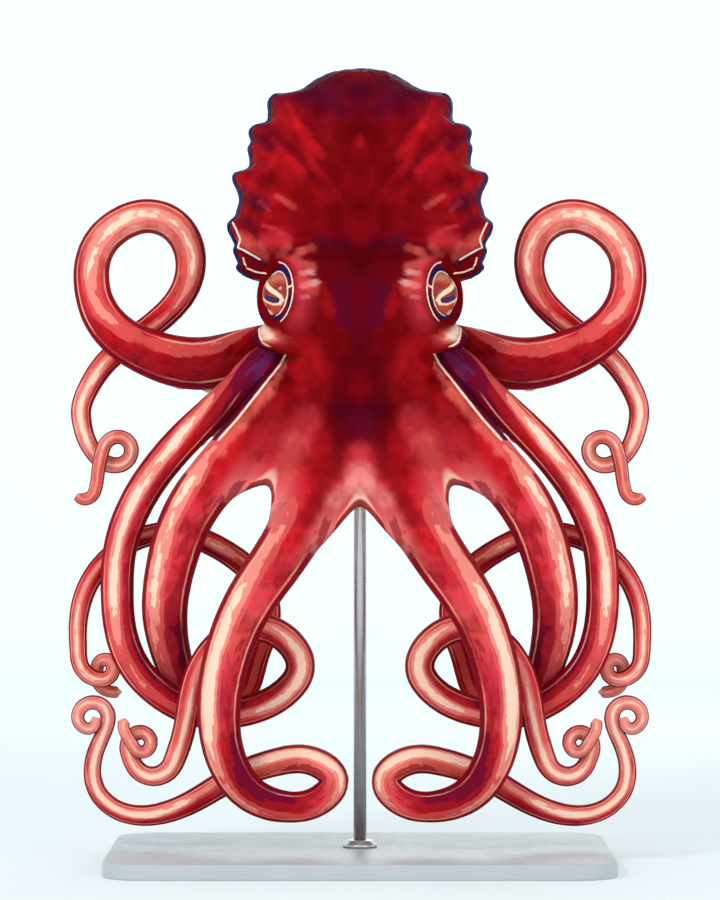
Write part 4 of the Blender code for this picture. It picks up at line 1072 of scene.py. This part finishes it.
def eyeball(side, tag):
    """A ball whose pole looks out along the eye's axis."""
    across, upward, axis = eye_axes(side)
    rows, count = 110, 220
    turn = 2 * math.pi * np.arange(count) / count
    polar = (math.pi * np.arange(1, rows) / rows)[:, None]
    ball = np.stack([np.sin(polar) * np.cos(turn), np.sin(polar) * np.sin(turn), np.cos(polar) + 0 * turn], axis=-1)
    points = np.vstack([ball.reshape(-1, 3), (0, 0, 1), (0, 0, -1)]) * EYE_RADIUS
    faces = strips(rows - 1, count)
    faces += [(c, (c + 1) % count, len(points) - 2) for c in range(count)]
    last = (rows - 2) * count
    faces += [(last + c, last + (c + 1) % count, len(points) - 1) for c in range(count)]
    placed = points @ np.array([across, upward, axis]) + EYE_CENTRE * (side, 1.0, 1.0)
    piece = mesh_object(f"eyeball_{tag}", placed, faces)
    colour_layer(piece.data, "tint", eye_colours(points[:, 0], points[:, 1], fractal(placed, 0.006, 61)))
    return piece


# ---------------------------------------------------------------- materials
class Paint:
    """A material's nodes, made and linked by short calls."""

    def __init__(self, name, colour=(0.5, 0.5, 0.5), roughness=0.5, **sockets):
        self.made = bpy.data.materials.new(name)
        self.made.use_nodes = True
        self.tree = self.made.node_tree
        self.shader = self.tree.nodes["Principled BSDF"]
        self.shader.inputs["Base Color"].default_value = (*colour, 1.0)
        self.shader.inputs["Roughness"].default_value = roughness
        for key, value in sockets.items():
            self.shader.inputs[key.replace("_", " ")].default_value = value

    def node(self, kind, out=0, settings=(), **inputs):
        """A new node; each input is a value or another node's socket. Gives back the wanted output socket."""
        made = self.tree.nodes.new("ShaderNode" + kind)
        for key, value in settings:
            setattr(made, key, value)
        for key, value in inputs.items():
            socket = made.inputs[int(key[1:])] if key[1:].isdigit() else made.inputs[key.replace("_", " ")]
            if isinstance(value, bpy.types.NodeSocket):
                self.tree.links.new(value, socket)
            else:
                socket.default_value = value
        return made.outputs[out]

    def place(self):
        return self.node("TexCoord", 3)

    def fact(self, name, colour=False):
        return self.node("Attribute", 0 if colour else 2, [("attribute_name", name)])

    def noise(self, scale, detail=3.0, rough=0.55, where=None):
        return self.node("TexNoise", 0, Vector=where or self.place(), Scale=scale, Detail=detail, Roughness=rough)

    def cells(self, scale):
        return self.node("TexVoronoi", 0, Vector=self.place(), Scale=scale)

    def math(self, operation, one, other=0.5, third=0.5):
        return self.node("Math", 0, [("operation", operation)], i0=one, i1=other, i2=third)

    def span(self, value, low, high, to_low=0.0, to_high=1.0):
        """The value stretched from low..high to to_low..to_high, and held there."""
        return self.node("MapRange", 0, [("interpolation_type", "SMOOTHSTEP")], Value=value, i1=low, i2=high,
                         i3=to_low, i4=to_high)

    def mix(self, share, one, other, blend="MIX"):
        made = self.tree.nodes.new("ShaderNodeMix")
        made.data_type, made.blend_type = "RGBA", blend
        for socket, value in ((made.inputs[0], share), (made.inputs[6], one), (made.inputs[7], other)):
            if isinstance(value, bpy.types.NodeSocket):
                self.tree.links.new(value, socket)
            else:
                socket.default_value = value if socket.type == "VALUE" else (*value, 1.0)
        return made.outputs[2]

    def wire(self, name, socket):
        self.tree.links.new(socket, self.shader.inputs[name])

    def bump(self, height, strength, distance):
        before = self.shader.inputs["Normal"].links
        inputs = {"Height": height, "Strength": strength, "Distance": distance}
        if before:
            inputs["Normal"] = before[0].from_socket
        self.wire("Normal", self.node("Bump", 0, **inputs))


# Bands that the shader cuts from a field, painted shade from "shade" and painted highlight from "gleam": the field,
# where it starts and is full, its share and its colour.
BANDS = [
    ("shade", -0.10, 0.06, 0.70, (150, 22, 34)), ("shade", 0.36, 0.50, 0.80, (100, 10, 44)),
    ("shade", 1.02, 1.16, 0.50, (88, 44, 104)), ("gleam", -1.20, -0.90, 0.50, (226, 96, 90)),
    ("gleam", -0.24, -0.10, 0.70, (240, 150, 134)), ("gleam", 0.42, 0.54, 0.85, (252, 212, 186)),
]


def skin_paint():
    """Wet skin: the painted tint with ragged bands of painted highlight and painted shade, fine creases and pinpoint
    cells.
    """
    paint = Paint("octopus_skin", roughness=0.50, Specular_IOR_Level=0.005)
    tint = paint.fact("tint", colour=True)
    mirrored = paint.node("VectorMath", 0, [("operation", "ABSOLUTE")], i0=paint.place())
    drawn_out = paint.node("CombineXYZ", 0, X=paint.math("MULTIPLY", paint.fact("reach"), 22.0),
                           Y=paint.math("MULTIPLY", paint.fact("flank"), 1.7),
                           Z=paint.math("MULTIPLY", paint.fact("pair"), 7.3))
    noises = (paint.noise(1.3, 4.0, 0.62, drawn_out), paint.noise(95.0, 3.0, where=mirrored),
              paint.noise(12.0, 2.0, where=mirrored))
    coarse, ragged, broad = (paint.math("SUBTRACT", noise, 0.5) for noise in noises)
    warp = paint.math("ADD", paint.math("MULTIPLY", coarse, 2.0), paint.math("MULTIPLY", ragged, 0.35))
    warp = paint.math("ADD", warp, paint.math("MULTIPLY", broad, 0.9))
    blotch = paint.span(paint.noise(22.0, 4.0, where=mirrored), 0.42, 0.62, 0.0, 0.42)
    tint = paint.mix(blotch, tint, linear(150, 60, 64), "MULTIPLY")
    streaks = paint.noise(3.4, 3.0, 0.6, drawn_out)
    free = paint.span(paint.fact("reach"), 0.10, 0.17)
    bright = paint.math("MULTIPLY", free, paint.span(streaks, 0.52, 0.66, 0.0, 0.34))
    tint = paint.mix(bright, tint, linear(232, 120, 100), "SOFT_LIGHT")
    dull = paint.math("MULTIPLY", free, paint.span(streaks, 0.34, 0.48, 0.30, 0.0))
    tint = paint.mix(dull, tint, linear(150, 60, 70), "MULTIPLY")
    light = paint.span(paint.noise(48.0, 4.0, 0.6, mirrored), 0.54, 0.66, 0.0, 0.22)
    tint = paint.mix(light, tint, linear(236, 70, 60), "SOFT_LIGHT")
    fields = {name: paint.math("ADD", paint.fact(name), warp) for name in ("shade", "gleam")}
    for name, start, end, share, colour in BANDS:
        tint = paint.mix(paint.span(fields[name], start, end, 0.0, share), tint, linear(*colour))
    # A thin pale line near the edges of arms and web, a painted rim highlight, and a darker border outside it: the
    # arms' margin line and painted shade at the edges.
    rim = paint.math("ADD", paint.fact("rim"), paint.math("MULTIPLY", ragged, 0.05))
    line = paint.math("MULTIPLY", paint.span(rim, 0.69, 0.72), paint.span(rim, 0.75, 0.78, 1.0, 0.0))
    line = paint.math("MULTIPLY", line, paint.span(paint.noise(9.0, 2.0), 0.40, 0.60, 0.10, 0.75))
    line = paint.math("MULTIPLY", line, paint.fact("trim"))
    tint = paint.mix(line, tint, linear(246, 178, 150))
    border = paint.math("MULTIPLY", paint.span(rim, 0.78, 0.82, 0.0, 0.88), paint.span(paint.fact("trim"), 0.0, 0.3))
    tint = paint.mix(border, tint, linear(132, 8, 26))
    # Dark lines: the outline and painted shadow round the cheek lobe, the dark line along the crown, the mantle's
    # outline and painted shadow in the lids' grooves.
    wobble = paint.math("MULTIPLY", ragged, 0.0012)
    dark = paint.math("ADD", paint.fact("dark"), wobble)
    tint = paint.mix(paint.span(dark, -0.0006, 0.0006, 0.92, 0.0), tint, linear(72, 6, 38))
    tint = paint.mix(paint.span(paint.fact("ink"), -0.0004, 0.0004, 0.95, 0.0), tint, linear(*INK_AND_SHADOW))
    line = paint.math("ADD", paint.fact("line"), wobble)
    tint = paint.mix(paint.span(line, -0.0004, 0.0004, 0.95, 0.0), tint, linear(*CREAM))
    dots = paint.span(paint.cells(560.0), 0.16, 0.30, 0.16, 0.0)
    tint = paint.mix(dots, tint, linear(96, 8, 20))
    paint.wire("Base Color", tint)
    paint.wire("Roughness", paint.span(paint.noise(90.0), 0.3, 0.7, 0.30, 0.46))
    paint.bump(paint.cells(150.0), 0.28, 0.0014)
    paint.bump(paint.noise(420.0, 3.0, 0.6), 0.25, 0.0005)
    return paint.made


def sucker_paint():
    """Pale, slightly pink cups, darker in the middle, with a fine grain."""
    paint = Paint("sucker_skin", roughness=0.34, Coat_Weight=0.25, Coat_Roughness=0.18)
    rim = paint.span(paint.fact("rim"), 0.15, 0.9)
    tint = paint.mix(rim, linear(196, 112, 104), linear(244, 214, 200))
    tint = paint.mix(paint.span(paint.noise(130.0), 0.4, 0.7, 0.0, 0.4), tint, linear(222, 150, 140))
    paint.wire("Base Color", tint)
    paint.bump(paint.noise(900.0, 2.0), 0.35, 0.0004)
    return paint.made


def eye_paint():
    """The painted iris with a fine grain, under a clear wet coat."""
    paint = Paint("eye_skin", roughness=0.30, Specular_IOR_Level=0.10, Coat_Weight=0.35, Coat_Roughness=0.03)
    tint = paint.fact("tint", colour=True)
    grain = paint.span(paint.noise(520.0, 4.0, 0.65), 0.4, 0.7, 0.0, 0.35)
    paint.wire("Base Color", paint.mix(grain, tint, linear(120, 30, 20), "MULTIPLY"))
    return paint.made


def beak_paint():
    """Dark brown horn."""
    return Paint("beak_horn", linear(44, 24, 18), 0.25, Coat_Weight=0.4, Coat_Roughness=0.1).made


def base_paint():
    """Satin paint on the wooden base, with a trace of brush grain and patchy roughness."""
    paint = Paint("stand_paint", roughness=0.42, Coat_Weight=0.2, Coat_Roughness=0.3)
    grain = paint.noise(14.0, 6.0, 0.6)
    tint = paint.mix(paint.span(grain, 0.35, 0.7, 0.0, 0.25), linear(182, 186, 190), linear(166, 171, 176))
    paint.wire("Base Color", tint)
    paint.wire("Roughness", paint.span(paint.noise(60.0), 0.3, 0.7, 0.36, 0.52))
    paint.bump(paint.noise(700.0, 2.0), 0.15, 0.0003)
    return paint.made


def steel_paint():
    """Brushed steel, with fine rings round the rod."""
    paint = Paint("stand_steel", linear(206, 208, 212), 0.28, Metallic=1.0)
    where = paint.node("Mapping", 0, Vector=paint.place(), Scale=(6.0, 6.0, 1400.0))
    paint.wire("Roughness", paint.span(paint.noise(1.0, 2.0, 0.5, where), 0.3, 0.7, 0.22, 0.40))
    paint.bump(paint.noise(1.0, 2.0, 0.5, where), 0.12, 0.0002)
    return paint.made


# ---------------------------------------------------------------- stand
BASE_CORNER, BASE_BEVEL = 0.060, 0.003
COLLAR_STEPS = [(1.0, 0.0), (1.0, 0.35), (0.97, 0.45), (0.80, 0.80), (0.76, 0.95), (0.70, 1.0), (0.45, 1.0)]


def smooth_base():
    """The base's plate again, with round corners of many facets and a rounded edge."""
    low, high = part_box("stand_base")
    half_x, half_y, top = (high.x - low.x) / 2 - BASE_CORNER, (high.y - low.y) / 2 - BASE_CORNER, high.z
    rounding = np.linspace(0, math.pi / 2, 6)
    levels = [(BASE_BEVEL * (1 - math.cos(a)), BASE_BEVEL * (1 - math.sin(a))) for a in rounding]
    levels += [(top - z, inset) for z, inset in reversed(levels)]
    points, turns = [], np.linspace(0, math.pi / 2, 17)
    for z, inset in levels:
        for q, (sx, sy) in enumerate(((1, 1), (-1, 1), (-1, -1), (1, -1))):
            a = turns + q * math.pi / 2
            reach = BASE_CORNER - inset
            points += [(sx * half_x + reach * math.cos(t), sy * half_y + reach * math.sin(t), z) for t in a]
    return mesh_object("base_plate", points, capped(len(levels), 4 * len(turns)))


def turned(name, axis_xy, profile, sides=64):
    """A piece turned about an upright axis: the profile is (radius, height) from one end to the other."""
    return mesh_object(name, spun(axis_xy, profile, sides), capped(len(profile), sides))


def middle_xy(low, high):
    return (low.x + high.x) / 2, (low.y + high.y) / 2


def smooth_rod():
    """The rod again, round and with a domed top."""
    low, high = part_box("stand_rod")
    radius = (high.x - low.x) / 2
    dome = [(radius * math.cos(a), high.z - radius * (1 - math.sin(a))) for a in np.linspace(0, 1.4, 6)]
    return turned("rod_steel", middle_xy(low, high), [(radius, low.z), *dome])


def smooth_collar():
    """The collar again, stepped and rounded."""
    low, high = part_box("stand_collar")
    wide, tall = (high.x - low.x) / 2, high.z - low.z
    return turned("collar_steel", middle_xy(low, high), [(r * wide, low.z + z * tall) for r, z in COLLAR_STEPS])


# ---------------------------------------------------------------- studio and camera
CAMERA_HEIGHT = 0.579
FRAME_HEIGHT = 1.26  # metres that the picture's height shows at the object
LENS, SENSOR = 160.0, 36.0
SWEEP_FLOOR, SWEEP_BEND, SWEEP_TOP, SWEEP_SIDES = 7.5, 3.5, 9.0, 96
SWEEP_RINGS = (0.6, 2.0, 4.0)  # radii of the flat rings inside the floor's edge
PAPER, PAPER_GLOW = linear(200, 206, 208), linear(240, 251, 254)
GLOW_NEAR, GLOW_FAR = (1.0, 0.33), (6.0, 0.62)  # distance from the middle, and the paper's glow there
LAMPS = [("key", (-1.9, -3.0, 2.6), 0.9, 60.0), ("fill", (2.4, -3.0, 1.5), 1.8, 25.0),
         ("top", (0.0, 0.2, 3.4), 2.0, 18.0), ("rear", (0.6, 3.2, 2.2), 2.0, 24.0)]  # name, place, size, power
LAMPS_AIM = (0.0, 0.0, 0.6)
SKY, SKY_STRENGTH = (0.93, 0.97, 1.0, 1.0), 0.35


def studio():
    """A pale floor that sweeps up into a pale round wall, and soft lights."""
    bend = np.linspace(0, math.pi / 2, 13)[1:]
    profile = [(radius, 0.0) for radius in (*SWEEP_RINGS, SWEEP_FLOOR)]
    profile += [(SWEEP_FLOOR + SWEEP_BEND * math.sin(a), SWEEP_BEND - SWEEP_BEND * math.cos(a)) for a in bend]
    profile.append((SWEEP_FLOOR + SWEEP_BEND, SWEEP_TOP))
    faces = [*strips(len(profile), SWEEP_SIDES), tuple(range(SWEEP_SIDES))]
    sweep = mesh_object("studio_sweep", spun((0.0, 0.0), profile, SWEEP_SIDES), faces)
    paper = Paint("studio_paper", PAPER, 0.95, Specular_IOR_Level=0.0)
    paper.shader.inputs["Emission Color"].default_value = (*PAPER_GLOW, 1.0)
    away = paper.node("VectorMath", 1, [("operation", "LENGTH")], i0=paper.place())
    paper.wire("Emission Strength", paper.span(away, GLOW_NEAR[0], GLOW_FAR[0], GLOW_NEAR[1], GLOW_FAR[1]))
    sweep.data.materials.append(paper.made)
    for name, place, size, power in LAMPS:
        lamp = bpy.data.lights.new(name, "AREA")
        lamp.size, lamp.energy = size, power
        holder = bpy.data.objects.new(name, lamp)
        bpy.context.scene.collection.objects.link(holder)
        holder.location = place
        holder.rotation_euler = Vector(np.subtract(LAMPS_AIM, place)).to_track_quat("-Z", "Y").to_euler()
    world = bpy.data.worlds.new("studio")
    world.use_nodes = True
    world.node_tree.nodes["Background"].inputs["Color"].default_value = SKY
    world.node_tree.nodes["Background"].inputs["Strength"].default_value = SKY_STRENGTH
    bpy.context.scene.world = world
    bpy.context.scene.view_settings.view_transform = "Standard"


def camera():
    """The camera looks level along +Y and shows FRAME_HEIGHT at the object."""
    lens = bpy.data.cameras.new("camera")
    lens.lens, lens.sensor_width = LENS, SENSOR
    holder = bpy.data.objects.new("camera", lens)
    bpy.context.scene.collection.objects.link(holder)
    holder.location = (0.0, -FRAME_HEIGHT * LENS / SENSOR, CAMERA_HEIGHT)
    holder.rotation_euler = (math.pi / 2, 0.0, 0.0)
    bpy.context.scene.camera = holder


BEAK_PROFILE = [(0.0095, -0.016), (0.0090, -0.006), (0.0072, 0.000), (0.0046, 0.005), (0.0018, 0.0075)]


def beak(count=24):
    """The tip of the horny beak that shows inside the lips."""
    across, points = np.array((1.0, 0.0, 0.0)), []
    turn = 2 * math.pi * np.arange(count) / count
    for radius, rise in BEAK_PROFILE:
        middle = MOUTH_POINT + rise * MOUTH_AXIS + 0.4 * max(0.0, rise) * RING_UP
        points += list(middle + radius * (0.8 * np.outer(np.cos(turn), across) + np.outer(np.sin(turn), RING_UP)))
    return mesh_object("beak", points, capped(len(BEAK_PROFILE), count))


def dressed(piece, paint, slot, *nodes):
    """The piece rides on the still body, takes a material and stands for CAD nodes."""
    piece.data.materials.clear()
    piece.data.materials.append(paint)
    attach(piece, "root")
    if nodes:
        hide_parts(*nodes)


def main():
    arms = [Arm(number, side) for side, order in ((1, (1, 2, 3, 4)), (-1, (4, 3, 2, 1))) for number in order]
    skin = finish_skin(build_skin(arms))
    flesh = [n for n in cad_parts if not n.startswith(("stand", "eye"))]
    skin_coat, cup_coat, eye_coat = skin_paint(), sucker_paint(), eye_paint()
    dressed(skin, skin_coat, "octopus_skin", *flesh)
    for arm in arms:
        dressed(suckers(arm), cup_coat, "octopus_skin")
    for side, tag in ((1, "r"), (-1, "l")):
        dressed(eyeball(side, tag), eye_coat, "eye", f"eye_{tag}")
    dressed(beak(), beak_paint(), "octopus_skin")
    steel = steel_paint()
    dressed(smooth_base(), base_paint(), "stand_paint", "stand_base")
    dressed(smooth_rod(), steel, "stand_steel", "stand_rod")
    dressed(smooth_collar(), steel, "stand_steel", "stand_collar")
    studio()
    camera()


main()
